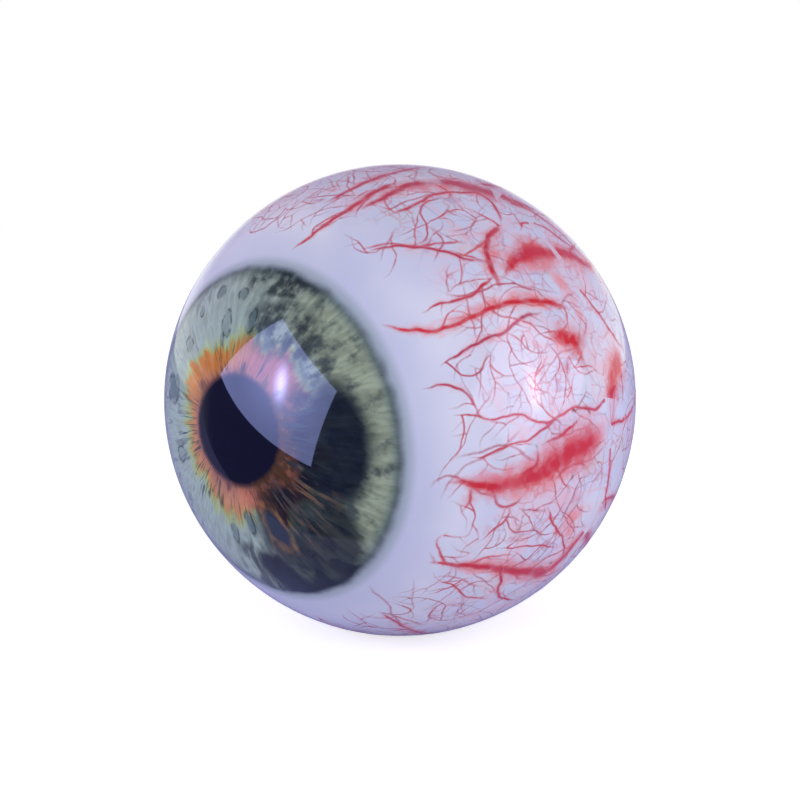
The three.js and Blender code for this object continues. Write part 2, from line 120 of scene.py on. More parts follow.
def turned(outline, steps, closed=False, aside=0.0):
    """Spins an outline once round the gaze axis, or round a line beside it"""
    shape = bmesh.new()
    corners = [shape.verts.new((distance + aside, along, BALL_CENTRE.z)) for distance, along in outline]
    edges = [shape.edges.new(pair) for pair in zip(corners, corners[1:])]
    if closed:
        edges.append(shape.edges.new((corners[-1], corners[0])))
    bmesh.ops.spin(shape, geom=corners + edges, cent=(aside, 0, BALL_CENTRE.z), axis=(0, 1, 0),
                   dvec=(0, 0, 0), angle=math.tau, steps=steps, use_merge=True)
    bmesh.ops.remove_doubles(shape, verts=shape.verts, dist=SAME_PLACE)
    bmesh.ops.recalc_face_normals(shape, faces=shape.faces)
    return shape


def add_post(shape, centre, radius, length, segments=32):
    """Adds a closed cylinder that lies along the gaze axis"""
    turn = Matrix.Translation(centre) @ Matrix.Rotation(math.pi / 2, 4, "X")
    bmesh.ops.create_cone(shape, cap_ends=True, segments=segments, radius1=radius, radius2=radius,
                          depth=length, matrix=turn)


def round_edges(shape, edges, rounding, segments):
    """Rounds some edges of a shape"""
    bmesh.ops.bevel(shape, geom=edges, offset=rounding, offset_type="OFFSET", segments=segments,
                    profile=0.5, affect="EDGES", material=-1)


def cut_away(shape, cutter):
    """Cuts one closed bmesh out of another and gives back the result"""
    piece = add_object("cut_piece", as_mesh("cut_piece", shape))
    tool = add_object("cut_tool", as_mesh("cut_tool", cutter))
    boolean = piece.modifiers.new("cut", "BOOLEAN")
    boolean.object = tool
    boolean.operation = "DIFFERENCE"
    boolean.solver = "EXACT"
    bpy.context.view_layer.update()
    evaluated = piece.evaluated_get(bpy.context.evaluated_depsgraph_get())
    result = bmesh.new()
    result.from_mesh(evaluated.to_mesh())
    evaluated.to_mesh_clear()
    for holder in (piece, tool):
        mesh = holder.data
        bpy.data.objects.remove(holder)
        bpy.data.meshes.remove(mesh)
    return result


def rim_cutter(magnet_nodes):
    """Everything that is cut from a half shell: pin and magnet pockets in the rim and the foot flat"""
    cutter = bmesh.new()
    for nodes, radius, depth in ((PIN_NODES, PIN_POCKET_RADIUS, PIN_POCKET_DEPTH),
                                 (magnet_nodes, MAGNET_POCKET_RADIUS, MAGNET_POCKET_DEPTH)):
        for node in nodes:
            low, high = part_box(node)
            middle = (low + high) / 2
            add_post(cutter, Vector((middle.x, PARTING_Y, middle.z)), radius, 2 * depth)
    depth = BALL_RADIUS
    below = Matrix.Translation((0, 0, -depth / 2)) @ Matrix.Diagonal((4 * depth, 4 * depth, depth, 1))
    bmesh.ops.create_cube(cutter, size=1, matrix=below)
    return cutter


def sort_print_faces(shape):
    """Gives the printed outside the first material, and bare plastic with the foot the second"""
    for face in shape.faces:
        nearest = min((corner.co - BALL_CENTRE).length for corner in face.verts)
        outside = nearest > BALL_RADIUS - PRINT_SKIN and face.calc_area() < PRINTED_FACE_AREA
        face.material_index = 0 if outside and face.calc_center_median().z >= FOOT_SKIN else 1


def feed(node, sockets):
    """Links or sets the named inputs of a shader node"""
    for name, value in sockets.items():
        if isinstance(value, Value):
            value.tree.links.new(value.socket, node.inputs[name])
        else:
            node.inputs[name].default_value = value


def put(tree, kind, sockets=None, **settings):
    """Adds a shader node, sets its choices, and feeds its inputs"""
    made = tree.nodes.new("ShaderNode" + kind)
    for name, value in settings.items():
        setattr(made, name, value)
    feed(made, sockets or {})
    return made


class Value:
    """What comes out of a shader node, for use in sums that build further nodes"""

    def __init__(self, node, output=0):
        self.tree = node.id_data
        self.socket = node.outputs[output]

    def math(self, operation, *others, **settings):
        """A Math node that starts with this value"""
        inputs = dict(enumerate((self, *others)))
        return Value(put(self.tree, "Math", inputs, operation=operation, **settings))

    def __add__(self, other):
        return self.math("ADD", other)

    def __sub__(self, other):
        return self.math("SUBTRACT", other)

    def __rsub__(self, other):
        return Value(put(self.tree, "Math", {0: other, 1: self}, operation="SUBTRACT"))

    def __mul__(self, other):
        return self.math("MULTIPLY", other)

    def __truediv__(self, other):
        return self.math("DIVIDE", other)

    def larger(self, other):
        """The larger of two values"""
        return self.math("MAXIMUM", other)

    def vector(self, operation, other=None, scale=None):
        """A Vector Math node that starts with this value"""
        given = {0: self, 1: other, "Scale": scale}
        sockets = {name: value for name, value in given.items() if value is not None}
        made = put(self.tree, "VectorMath", sockets, operation=operation)
        return Value(made, "Value" if operation in ("LENGTH", "DOT_PRODUCT") else "Vector")

    def parts(self):
        """The three numbers of a vector"""
        made = put(self.tree, "SeparateXYZ", {"Vector": self})
        return [Value(made, name) for name in "XYZ"]

    def step(self, start, end, low=0.0, high=1.0):
        """A smooth change from low to high while this value goes from start to end"""
        sockets = {"Value": self, "From Min": start, "From Max": end, "To Min": low, "To Max": high}
        return Value(put(self.tree, "MapRange", sockets, interpolation_type="SMOOTHSTEP"), "Result")

    def noise(self, scale, detail=3.0, roughness=0.5, distortion=0.0):
        """Cloudy noise at this place, from 0 to 1, about 0.5"""
        sockets = {"Vector": self, "Scale": scale, "Detail": detail, "Roughness": roughness,
                   "Distortion": distortion}
        return Value(put(self.tree, "TexNoise", sockets), "Fac")

    def between(self, first, second):
        """A colour that goes from the first to the second while this value goes from 0 to 1"""
        return Value(put(self.tree, "Mix", {0: self, 6: first, 7: second}, data_type="RGBA"), 2)

    def dimmed(self, colour):
        """A colour multiplied by this value"""
        sockets = {0: 1.0, 6: colour, 7: combined(X=self, Y=self, Z=self)}
        return Value(put(self.tree, "Mix", sockets, data_type="RGBA", blend_type="MULTIPLY"), 2)


def combined(**parts):
    """A vector made of up to three values, with 0 for the rest"""
    tree = next(iter(parts.values())).tree
    return Value(put(tree, "CombineXYZ", parts))


def painted(colour, *coats):
    """A colour with others laid over it in turn, each by its own share"""
    for share, over in coats:
        colour = share.between(colour, over)
    return colour


def relief(height, strength, distance):
    """The normals of a surface with small bumps"""
    sockets = {"Height": height, "Strength": strength, "Distance": distance}
    return Value(put(height.tree, "Bump", sockets), "Normal")


def new_group(name, inputs, outputs):
    """A shader node group with named sockets: its tree, its inputs as values and its output node"""
    tree = bpy.data.node_groups.new(name, "ShaderNodeTree")
    for in_out, sockets in (("INPUT", inputs), ("OUTPUT", outputs)):
        for socket, kind in sockets.items():
            tree.interface.new_socket(socket, in_out=in_out, socket_type="NodeSocket" + kind)
    given = tree.nodes.new("NodeGroupInput")
    return tree, [Value(given, socket) for socket in inputs], tree.nodes.new("NodeGroupOutput")


def from_group(tree, group, sockets=None):
    """Puts a node group into a tree and gives all that comes out of it"""
    made = put(tree, "Group", sockets, node_tree=group)
    return [Value(made, name) for name in made.outputs.keys()]


def new_material(name):
    """A material with its Principled shader, and its tree"""
    material = bpy.data.materials.new(name)
    material.use_nodes = True
    return material, material.node_tree, material.node_tree.nodes["Principled BSDF"]


def object_place(tree):
    """The place of a point on its piece"""
    return Value(put(tree, "TexCoord"), "Object")


def stored(tree, name):
    """A number stored with the mesh"""
    return Value(put(tree, "Attribute", attribute_name=name), "Fac")


def make_gaze_group():
    """Where a point lies on the ball: its direction, its angle from the gaze, and both laid out flat"""
    outputs = {"Direction": "Vector", "Polar": "Float", "Plane": "Vector"}
    tree, _, result = new_group("gaze_angles", {}, outputs)
    direction = object_place(tree).vector("SUBTRACT", BALL_CENTRE).vector("NORMALIZE")
    east, back, up = direction.parts()
    polar = (back * -1.0).math("ARCCOSINE").math("DEGREES")
    plane = combined(X=east, Y=up).vector("NORMALIZE").vector("SCALE", scale=polar)
    feed(result, {"Direction": direction, "Polar": polar, "Plane": plane})
    return tree


SCLERA_LAVENDER = (0.66, 0.67, 0.87, 1)
SCLERA_PALE = (0.76, 0.76, 0.91, 1)
SCLERA_PINK = (0.86, 0.50, 0.60, 1)
SCLERA_GREY = (0.66, 0.70, 0.74, 1)
SCLERA_SHADE = (0.52, 0.54, 0.76, 1)
LIMBUS_HALO = (0.30, 0.37, 0.44, 1)
FLUSH_RED = (0.88, 0.17, 0.15, 1)
FLUSH_ROSE = (0.78, 0.22, 0.32, 1)
CAPILLARY_RED = (0.62, 0.15, 0.20, 1)
CAPILLARY_PURPLE = (0.42, 0.24, 0.42, 1)
PARTING_POLAR = math.degrees(rim_polar(BALL_RADIUS, PARTING_Y))


def make_hair_net_group():
    """Thin lines of a wandering net, 1 on the line and 0 off it"""
    tree, (direction, scale, width, warp), result = new_group(
        "hair_net", {"Direction": "Vector", "Scale": "Float", "Width": "Float", "Warp": "Float"},
        {"Line": "Float"})
    cloud = put(tree, "TexNoise", {"Vector": direction, "Scale": scale * 0.6, "Detail": 3.0})
    bent = direction.vector("ADD", Value(cloud, "Color").vector("SCALE", scale=warp))
    cells = put(tree, "TexVoronoi", {"Vector": bent, "Scale": scale}, feature="DISTANCE_TO_EDGE")
    feed(result, {"Line": Value(cells, "Distance").step(0.0, width, 1.0, 0.0)})
    return tree


hair_net_group = make_hair_net_group()


def hair_lines(direction, scale, width, warp):
    """The lines of one hair net at a place on the ball"""
    sockets = {"Direction": direction, "Scale": scale, "Width": width, "Warp": warp}
    return from_group(direction.tree, hair_net_group, sockets)[0]


def make_sclera_group():
    """The printed white of the eye: lavender white with pink washes and a fine faint net of capillaries"""
    tree, (direction, polar), result = new_group(
        "sclera_print", {"Direction": "Vector", "Polar": "Float"}, {"Color": "Color"})
    away = polar.step(52.0, 72.0)
    far = polar.step(54.0, 68.0)
    grey = direction.noise(6.0, 3.0).step(0.50, 0.70)
    wash = direction.noise(4.5, 4.0, 0.6, 0.5).step(0.48, 0.72)
    shown = direction.noise(5.0, 2.0).step(0.44, 0.58)
    hidden = direction.noise(4.0, 2.0).step(0.56, 0.44)
    flush = stored(tree, "flush")
    clouded = flush + direction.noise(16.0, 5.0, 0.6).step(0.25, 0.75, -0.3, 0.3)
    off_parting = (polar - PARTING_POLAR).math("ABSOLUTE")
    flushed = clouded.step(0.0, 1.1) * flush.step(0.0, 0.2) * off_parting.step(0.4, 3.5, 0.25, 0.9)
    colour = painted(
        direction.noise(2.2, 2.0).step(0.38, 0.66).between(SCLERA_LAVENDER, SCLERA_PALE),
        (polar.step(54.0, 42.0, 0.0, 0.6), SCLERA_SHADE),
        (polar.step(43.8, 40.8, 0.0, 0.75), LIMBUS_HALO),
        (grey * away * 0.45, SCLERA_GREY),
        (wash * away * 0.6, SCLERA_PINK),
        (hair_lines(direction, 6.0, 0.035, 0.24) * far * hidden * 0.5, CAPILLARY_PURPLE),
        (hair_lines(direction, 4.0, 0.06, 0.35) * far * 0.4, SCLERA_PINK),
        (hair_lines(direction, 11.0, 0.06, 0.17) * shown * far * 0.5, CAPILLARY_RED),
        (flushed, direction.noise(3.0, 2.0).step(0.4, 0.6).between(FLUSH_RED, FLUSH_ROSE)))
    feed(result, {"Color": colour})
    return tree


def seal_with_coat(shader, colour):
    """Ink of this colour under a polished clear coat"""
    feed(shader, {"Base Color": colour, "Roughness": 0.42, "Specular IOR Level": 0.0,
                  "Coat Weight": 1.0, "Coat Roughness": 0.03, "Coat IOR": 1.5})


gaze_group = make_gaze_group()
sclera_group = make_sclera_group()


def make_rear_print():
    """Material of the rear half's outside"""
    material, tree, shader = new_material("rear_print")
    direction, polar, _ = from_group(tree, gaze_group)
    seal_with_coat(shader, *from_group(tree, sclera_group, {"Direction": direction, "Polar": polar}))
    return material


def make_mould_grain_group():
    """The fine grain that a spark-eroded mould leaves, and the slight unevenness of its plastic"""
    tree, _, result = new_group("mould_grain", {}, {"Shade": "Float", "Grain": "Float"})
    place = object_place(tree)
    shade = place.noise(90.0, 3.0).step(0.3, 0.7, 0.94, 1.0)
    feed(result, {"Shade": shade, "Grain": place.noise(2600.0, 2.0)})
    return tree


mould_grain_group = make_mould_grain_group()


def make_moulded_plastic(name, colour, roughness):
    """Satin moulded plastic"""
    material, tree, shader = new_material(name)
    shade, grain = from_group(tree, mould_grain_group)
    feed(shader, {"Base Color": shade.dimmed(colour), "Roughness": roughness,
                  "Normal": relief(grain, 0.25, 0.00004)})
    return material


rear_print = make_rear_print()
white_plastic = make_moulded_plastic("white_plastic", PLASTIC_WHITE, 0.45)

rear_rim = PARTING_Y + PARTING_HALF_GAP
rear_outline = ball_arc(BALL_RADIUS, math.pi, rim_polar(BALL_RADIUS, rear_rim), OUTER_STEPS)
rear_outline += ball_arc(INNER_RADIUS, rim_polar(INNER_RADIUS, rear_rim), math.pi, INNER_STEPS)
rear_cutter = rim_cutter(REAR_MAGNET_NODES)
nerve_hole = Vector((-NERVE_OFFSET, BALL_RADIUS, BALL_CENTRE.z))
add_post(rear_cutter, nerve_hole, NERVE_HOLE_RADIUS, BALL_RADIUS, 64)
rear_shape = cut_away(turned(rear_outline, SHELL_STEPS), rear_cutter)
sort_print_faces(rear_shape)
rear_shell = finished("rear_half_shell", rear_shape, [rear_print, white_plastic],
                      "rear_half", ["rear_sclera_shell"])


# Pins and magnets: two ground steel pins pressed into the rear rim line the halves up.
# Four nickel-plated disc magnets in each rim, glued a little below flush, pull them together.

PIN_ROUNDING = 0.4 * MILLIMETRE
MAGNET_ROUNDING = 0.2 * MILLIMETRE
HIDDEN_CLEARANCE = 0.02 * MILLIMETRE
STREAK_SHADE = 0.75


def make_metal_lines_group():
    """Fine lines in bare metal, drawn out along the axes whose stretch is small"""
    tree, (stretch,), result = new_group("metal_lines", {"Stretch": "Vector"}, {"Lines": "Float"})
    drawn_out = Value(put(tree, "Mapping", {"Vector": object_place(tree), "Scale": stretch}))
    feed(result, {"Lines": drawn_out.noise(900.0, 3.0)})
    return tree


metal_lines_group = make_metal_lines_group()


def make_metal(name, colour, roughness, stretch):
    """Bare metal with fine lines and small changes of polish"""
    material, tree, shader = new_material(name)
    (lines,) = from_group(tree, metal_lines_group, {"Stretch": stretch})
    streak = (*(STREAK_SHADE * part for part in colour[:3]), 1)
    feed(shader, {"Metallic": 1.0, "Base Color": lines.between(colour, streak),
                  "Roughness": lines.step(0.3, 0.7, roughness * 0.7, roughness * 1.4),
                  "Normal": relief(lines, 0.15, 0.00002)})
    return material


def make_post(name, node, rounding, material, body):
    """A short cylinder with rounded ends, where the frame has it"""
    low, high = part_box(node)
    shape = bmesh.new()
    radius = (high.z - low.z) / 2 - HIDDEN_CLEARANCE
    add_post(shape, (low + high) / 2, radius, high.y - low.y, 48)
    ends = [edge for edge in shape.edges if abs(edge.verts[0].co.y - edge.verts[1].co.y) < 1e-7]
    round_edges(shape, ends, rounding, 4)
    finished(name, shape, [material], body, [node], 50)


pin_steel = make_metal("pin_steel", (0.62, 0.63, 0.65, 1), 0.22, (1, 0.05, 1))
magnet_nickel = make_metal("magnet_nickel", (0.66, 0.64, 0.60, 1), 0.16, (1, 1, 1))
for node in PIN_NODES:
    make_post(node.replace("rim", "steel"), node, PIN_ROUNDING, pin_steel, "rear_half")
for body, nodes in (("rear_half", REAR_MAGNET_NODES), ("front_half", FRONT_MAGNET_NODES)):
    for node in nodes:
        make_post("disc_" + node, node, MAGNET_ROUNDING, magnet_nickel, body)


# Optic nerve: a core of pale yellow fibre bundles with an artery and a vein running through it.
# It sits in a flared off-white sheath that is coped to the ball, and all of it pulls out backwards.

RETINA_WALL = 1.8 * MILLIMETRE
RETINA_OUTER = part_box("retina_cup")[1].y
RETINA_INNER = RETINA_OUTER - RETINA_WALL
CHOROID_WALL = 2.2 * MILLIMETRE
CHOROID_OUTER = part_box("choroid_cup")[1].y
CHOROID_INNER = CHOROID_OUTER - CHOROID_WALL
NERVE_RADIUS = 7.7 * MILLIMETRE
NERVE_HEAD_RADIUS = 5.2 * MILLIMETRE
NERVE_END_ROUNDING = 0.7 * MILLIMETRE
DISC_CUP_DEPTH = 0.6 * MILLIMETRE
DISC_CUP_WIDTH = 2.6 * MILLIMETRE
VESSEL_BORE = 1.5 * MILLIMETRE
SHEATH_BORE = 8.0 * MILLIMETRE
SHEATH_OUTER = 11.0 * MILLIMETRE
SHEATH_REACH = 14 * MILLIMETRE
SHEATH_SEAT = 8 * MILLIMETRE
SHEATH_FLARE = 4.3 * MILLIMETRE
SHEATH_FLARE_LENGTH = 12.0 * MILLIMETRE
SHEATH_FLARE_CURVE = 2.4
SHEATH_ROUNDING = 0.8 * MILLIMETRE
SEAT_GAP = 0.3 * MILLIMETRE
COPE_GAP = 0.25 * MILLIMETRE
NERVE_STEPS = 96


def from_axis(place):
    """How far a place lies from the gaze axis"""
    return math.hypot(place.x, place.z - BALL_CENTRE.z)


def cope_to_ball(shape, level, radius):
    """Moves the corners at one level of the nerve until they lie on a sphere about the ball's centre"""
    for corner in shape.verts:
        if abs(corner.co.y - level) < SAME_PLACE:
            flat = corner.co.x ** 2 + (corner.co.z - BALL_CENTRE.z) ** 2
            corner.co.y = math.sqrt(radius ** 2 - flat)


def rounded_corner(distance, along, rounding, steps=4):
    """The rounded rim of a rod's rear end, from its side to its end face"""
    turns = [math.pi / 2 * step / steps for step in range(steps + 1)]
    return [(distance - rounding * (1 - math.cos(turn)), along - rounding * (1 - math.sin(turn)))
            for turn in turns]


def make_fibre_group():
    """Fibres that run along the nerve: how high they stand, and how pale they are"""
    outputs = {"Fibres": "Float", "Shade": "Float"}
    tree, (scale,), result = new_group("nerve_fibres", {"Scale": "Float"}, outputs)
    place = object_place(tree)
    fibres = Value(put(tree, "Mapping", {"Vector": place, "Scale": (1, 0.06, 1)})).noise(scale, 4.0, 0.65)
    shade = (fibres * 0.7 + place.noise(120.0, 3.0) * 0.3).step(0.35, 0.65)
    feed(result, {"Fibres": fibres, "Shade": shade})
    return tree


fibre_group = make_fibre_group()


def make_fibrous(name, light, dark, roughness, scale, sheen):
    """Satin plastic painted with fibres that run along the nerve"""
    material, tree, shader = new_material(name)
    fibres, shade = from_group(tree, fibre_group, {"Scale": scale})
    feed(shader, {"Base Color": shade.between(dark, light), "Roughness": roughness, "Coat Weight": sheen,
                  "Coat Roughness": 0.25, "Normal": relief(fibres, 0.5, 0.0002)})
    return material


def make_nerve_core():
    """The core: its head flush with the retina and hollowed a little, its end cut square"""
    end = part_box("nerve_core")[1].y
    shoulder = CHOROID_OUTER
    widening = NERVE_RADIUS - NERVE_HEAD_RADIUS
    outline = [(NERVE_HEAD_RADIUS * step / 16, RETINA_INNER) for step in range(17)]
    outline += [(NERVE_HEAD_RADIUS + widening * step / 4, shoulder) for step in range(5)]
    outline += rounded_corner(NERVE_RADIUS, end, NERVE_END_ROUNDING)
    outline += [(NERVE_RADIUS * share, end) for share in (0.8, 0.6, 0.4, 0.2, 0.0)]
    shape = turned(outline, NERVE_STEPS, aside=-NERVE_OFFSET)
    cope_to_ball(shape, RETINA_INNER, RETINA_INNER)
    cope_to_ball(shape, shoulder, CHOROID_OUTER + SEAT_GAP)
    for corner in shape.verts:
        off_axis = math.hypot(corner.co.x + NERVE_OFFSET, corner.co.z - BALL_CENTRE.z)
        if corner.co.y < RETINA_INNER and off_axis < NERVE_HEAD_RADIUS - 1e-5:
            corner.co.y += DISC_CUP_DEPTH * math.exp(-(off_axis / DISC_CUP_WIDTH) ** 2)
    bores = bmesh.new()
    for node in ("retinal_artery", "retinal_vein"):
        low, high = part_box(node)
        middle = Vector(((low.x + high.x) / 2, (low.y + high.y) / 2, BALL_CENTRE.z))
        add_post(bores, middle, VESSEL_BORE, 2 * (high.y - low.y), 24)
    paint = make_fibrous("nerve_yellow", (0.82, 0.66, 0.34, 1), (0.60, 0.40, 0.16, 1), 0.5, 700.0, 0.3)
    finished("nerve_fibre_core", cut_away(shape, bores), [paint], "optic_nerve", ["nerve_core"], 40)


def make_sheath():
    """The sheath: a tube whose front flares out and is coped to the ball"""
    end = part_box("nerve_sheath")[1].y
    start = end - SHEATH_REACH - SHEATH_SEAT
    flare_end = start + SHEATH_FLARE_LENGTH
    outline = [(SHEATH_BORE, start)]
    for share in (step / 14 for step in range(15)):
        spread = SHEATH_FLARE * (1 - share) ** SHEATH_FLARE_CURVE
        outline.append((SHEATH_OUTER + spread, start + (flare_end - start) * share))
    outline += rounded_corner(SHEATH_OUTER, end, SHEATH_ROUNDING)
    outline += [(SHEATH_BORE + SEAT_GAP, end), (SHEATH_BORE, end - SEAT_GAP)]
    sheath = turned(outline, NERVE_STEPS, True, -NERVE_OFFSET)
    ball = bmesh.new()
    bmesh.ops.create_uvsphere(ball, u_segments=160, v_segments=120, radius=FULL_RADIUS + COPE_GAP,
                              matrix=Matrix.Translation(BALL_CENTRE))
    paint = make_fibrous("sheath_white", (0.80, 0.75, 0.66, 1), (0.62, 0.52, 0.42, 1), 0.55, 420.0, 0.2)
    finished("nerve_dura_sheath", cut_away(sheath, ball), [paint], "optic_nerve",
             ["nerve_sheath"], 40)


def make_central_vessel(name, node, colour, dark_colour):
    """A central vessel: a soft-looking tube with a rounded rear end"""
    low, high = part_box(node)
    shape = bmesh.new()
    radius = (high.z - low.z) / 2 - HIDDEN_CLEARANCE
    end = high.y - HIDDEN_CLEARANCE
    middle = Vector(((low.x + high.x) / 2, (low.y + end) / 2, (low.z + high.z) / 2))
    add_post(shape, middle, radius, end - low.y, 32)
    rear = [edge for edge in shape.edges
            if all(corner.co.y > end - SAME_PLACE for corner in edge.verts)]
    round_edges(shape, rear, radius * 0.6, 5)
    material = make_fibrous(name + "_paint", colour, dark_colour, 0.35, 300.0, 0.6)
    finished(name, shape, [material], "optic_nerve", [node], 50)


make_nerve_core()
make_sheath()
make_central_vessel("central_artery", "retinal_artery",
                    (0.62, 0.04, 0.04, 1), (0.36, 0.01, 0.02, 1))
make_central_vessel("central_vein", "retinal_vein",
                    (0.07, 0.12, 0.42, 1), (0.03, 0.05, 0.24, 1))


# Choroid cup: the dark red-brown layer that lines the rear shell, cast in satin plastic.
# It is painted with a close net of vessels, and the nerve's head passes through a hole in it.

HEAD_HOLE_RADIUS = 5.5 * MILLIMETRE
LAYER_STEPS = 200
REAR_LAYER_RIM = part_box("choroid_cup")[0].y
NO_DIMPLE = (0.0, 0.01)


def make_vascular_group():
    """Tissue with a crowded net of vessels of two sizes: its colour, and how high the vessels stand"""
    tree, (ground, vessel, deep), result = new_group(
        "vascular_tissue", {"Ground": "Color", "Vessel": "Color", "Deep": "Color"},
        {"Color": "Color", "Height": "Float"})
    direction = from_group(tree, gaze_group)[0]
    cloud = direction.noise(7.0, 4.0).step(0.35, 0.65)
    broad = hair_lines(direction, 13.0, 0.10, 0.16)
    close = hair_lines(direction, 30.0, 0.12, 0.08)
    colour = painted(cloud.between(ground, deep), (close * 0.35, vessel), (broad * 0.7, vessel))
    feed(result, {"Color": colour, "Height": broad + close * 0.5})
    return tree


vascular_group = make_vascular_group()


def make_vascular(name, ground, vessel, deep, roughness):
    """Satin paint of a layer full of vessels"""
    material, tree, shader = new_material(name)
    colour, height = from_group(tree, vascular_group, {"Ground": ground, "Vessel": vessel, "Deep": deep})
    feed(shader, {"Base Color": colour, "Roughness": roughness, "Coat Weight": 0.35,
                  "Coat Roughness": 0.3, "Normal": relief(height, 0.5, 0.0002)})
    return material


def make_cup(outer, inner, dimple):
    """A bowl that lines the rear half, with the hole for the nerve's head; the dimple is in its inside"""
    outline = ball_arc(outer, math.pi, rim_polar(outer, REAR_LAYER_RIM), 60)
    outline += ball_arc(inner, rim_polar(inner, REAR_LAYER_RIM), math.pi, 90)
    cup = turned(outline, LAYER_STEPS)
    for corner in cup.verts:
        if corner.co.y > 0 and (corner.co - BALL_CENTRE).length < (outer + inner) / 2:
            corner.co.y += dimple[0] * math.exp(-(from_axis(corner.co) / dimple[1]) ** 2)
    hole = bmesh.new()
    add_post(hole, Vector((-NERVE_OFFSET, outer, BALL_CENTRE.z)), HEAD_HOLE_RADIUS, outer, 64)
    return cut_away(cup, hole)


choroid_paint = make_vascular("choroid_paint", (0.20, 0.045, 0.03, 1), (0.36, 0.05, 0.035, 1),
                              (0.09, 0.022, 0.018, 1), 0.42)
finished("choroid_bowl", make_cup(CHOROID_OUTER, CHOROID_INNER, NO_DIMPLE), [choroid_paint],
         "choroid", ["choroid_cup"])


# Retina cup: the orange light-sensitive layer, with the pit of the fovea straight behind the lens.
# Arteries and veins are printed on its inside, in arches that run out from the optic disc.

FOVEA = (0.7 * MILLIMETRE, 1.9 * MILLIMETRE)
MACULA_ANGLE = 7.5
LINE_STEP = 0.9 * MILLIMETRE
ROOT_DEPTH = 0.12 * MILLIMETRE
COLUMN_WIDTH = 2.2 * MILLIMETRE
RETINAL_HEIGHT = 0.03 * MILLIMETRE
RETINAL_END_WIDTH = 0.35 * MILLIMETRE
RETINAL_REACH = {2: 26, 1: 13}
RETINA_RIM_POLAR = math.degrees(rim_polar(RETINA_INNER, REAR_LAYER_RIM))
DISC_POLAR = 180 - math.degrees(math.asin(NERVE_OFFSET / RETINA_INNER))


def make_retina_paint():
    """Orange-red retina, darker and yellower round the fovea, with a faint pattern of the layer behind it"""
    material, tree, shader = new_material("retina_paint")
    direction, polar, _ = from_group(tree, gaze_group)
    cloud = direction.noise(6.0, 4.0).step(0.35, 0.65)
    from_fovea = 180.0 - polar
    colour = painted(
        cloud.between((0.66, 0.24, 0.11, 1), (0.78, 0.34, 0.17, 1)),
        (hair_lines(direction, 22.0, 0.14, 0.1) * 0.22, (0.52, 0.12, 0.06, 1)),
        (from_fovea.step(MACULA_ANGLE * 0.35, MACULA_ANGLE, 1.0, 0.0) * 0.75, (0.52, 0.16, 0.04, 1)),
        (from_fovea.step(0.6, 2.2, 1.0, 0.0) * 0.8, (0.32, 0.07, 0.03, 1)))
    feed(shader, {"Base Color": colour, "Roughness": 0.4, "Coat Weight": 0.4, "Coat Roughness": 0.2,
                  "Normal": relief(direction.noise(90.0, 3.0), 0.3, 0.0001)})
    return material


def on_ball(azimuth, polar):
    """Unit direction of a place given by its azimuth about the gaze and its angle from it"""
    turn, lean = math.radians(azimuth), math.radians(polar)
    return Vector((math.sin(lean) * math.cos(turn), -math.cos(lean), math.sin(lean) * math.sin(turn)))


def polar_of(direction):
    """Angle from the gaze, in degrees"""
    return math.degrees(math.acos(max(-1.0, min(1.0, -direction.y))))


def smooth_line(places):
    """A smooth line over the ball through a few places, in even short steps"""
    knots = [on_ball(*place) for place in places]
    ends = [2 * knots[0] - knots[1]] + knots + [2 * knots[-1] - knots[-2]]
    line = []
    for before, start, end, after in zip(ends, ends[1:], ends[2:], ends[3:]):
        steps = max(2, round((end - start).length * BALL_RADIUS / LINE_STEP))
        for step in range(steps):
            t = step / steps
            curve = 2 * start + (end - before) * t
            curve += (2 * before - 5 * start + 4 * end - after) * t * t
            curve += (3 * start - before - 3 * end + after) * t * t * t
            line.append(curve.normalized())
    line.append(knots[-1])
    return line


def wander(start, heading, length, restless, dice, keep):
    """A line that creeps over the ball, turning a little at each step, for as long as it may stay"""
    line = [start.copy()]
    bend = 0.0
    step = LINE_STEP / BALL_RADIUS
    for _ in range(max(3, round(length / LINE_STEP))):
        here = line[-1]
        bend = bend * 0.8 + dice.gauss(0, restless)
        heading = heading - here * heading.dot(here)
        heading = (Quaternion(here, bend) @ heading).normalized()
        ahead = (here + heading * step).normalized()
        if not keep(ahead):
            break
        line.append(ahead)
    return line


def sideways(line, index):
    """The direction across a line at one of its steps"""
    before, after = line[max(index - 1, 0)], line[min(index + 1, len(line) - 1)]
    return line[index].cross(after - before).normalized()


def strip_layers(shape):
    """The print's own layers: a flat map along each line, how dark its red is and how strong its ink"""
    return (shape.loops.layers.uv.new("ink_map"), shape.verts.layers.float.new("dark"),
            shape.verts.layers.float.new("strength"))


def lay_ink(shape, layers, line, widths, top, root, dark, strengths):
    """Lays a line of ink: a top just off the surface, at radius top, and a root sunk into it"""
    ink_map, dark_layer, strength_layer = layers
    spans = max(2, math.ceil(max(widths) / COLUMN_WIDTH))
    tops = [(2 * column / spans - 1, top) for column in range(spans + 1)]
    rows = []
    for index, direction in enumerate(line):
        side = sideways(line, index) * (widths[index] / 2 / top)
        row = []
        for shift, reach in tops + [(1, root), (-1, root)]:
            corner = shape.verts.new(BALL_CENTRE + (direction + side * shift).normalized() * reach)
            corner[dark_layer] = dark
            corner[strength_layer] = strengths[index]
            row.append(corner)
        rows.append(row)
    across = [column / spans for column in range(spans + 1)] + [1.0, 0.0]
    edges = [(column, column + 1) for column in range(spans + 2)] + [(spans + 2, 0)]
    travelled = 0.0
    for row, following in zip(rows, rows[1:]):
        gone = travelled + LINE_STEP / MILLIMETRE
        for left, right in edges:
            face = shape.faces.new((row[right], row[left], following[left], following[right]))
            marks = ((across[right], travelled), (across[left], travelled), (across[left], gone),
                     (across[right], gone))
            for loop, mark in zip(face.loops, marks):
                loop[ink_map].uv = mark
        travelled = gone
    shape.faces.new(rows[0])
    shape.faces.new(reversed(rows[-1]))


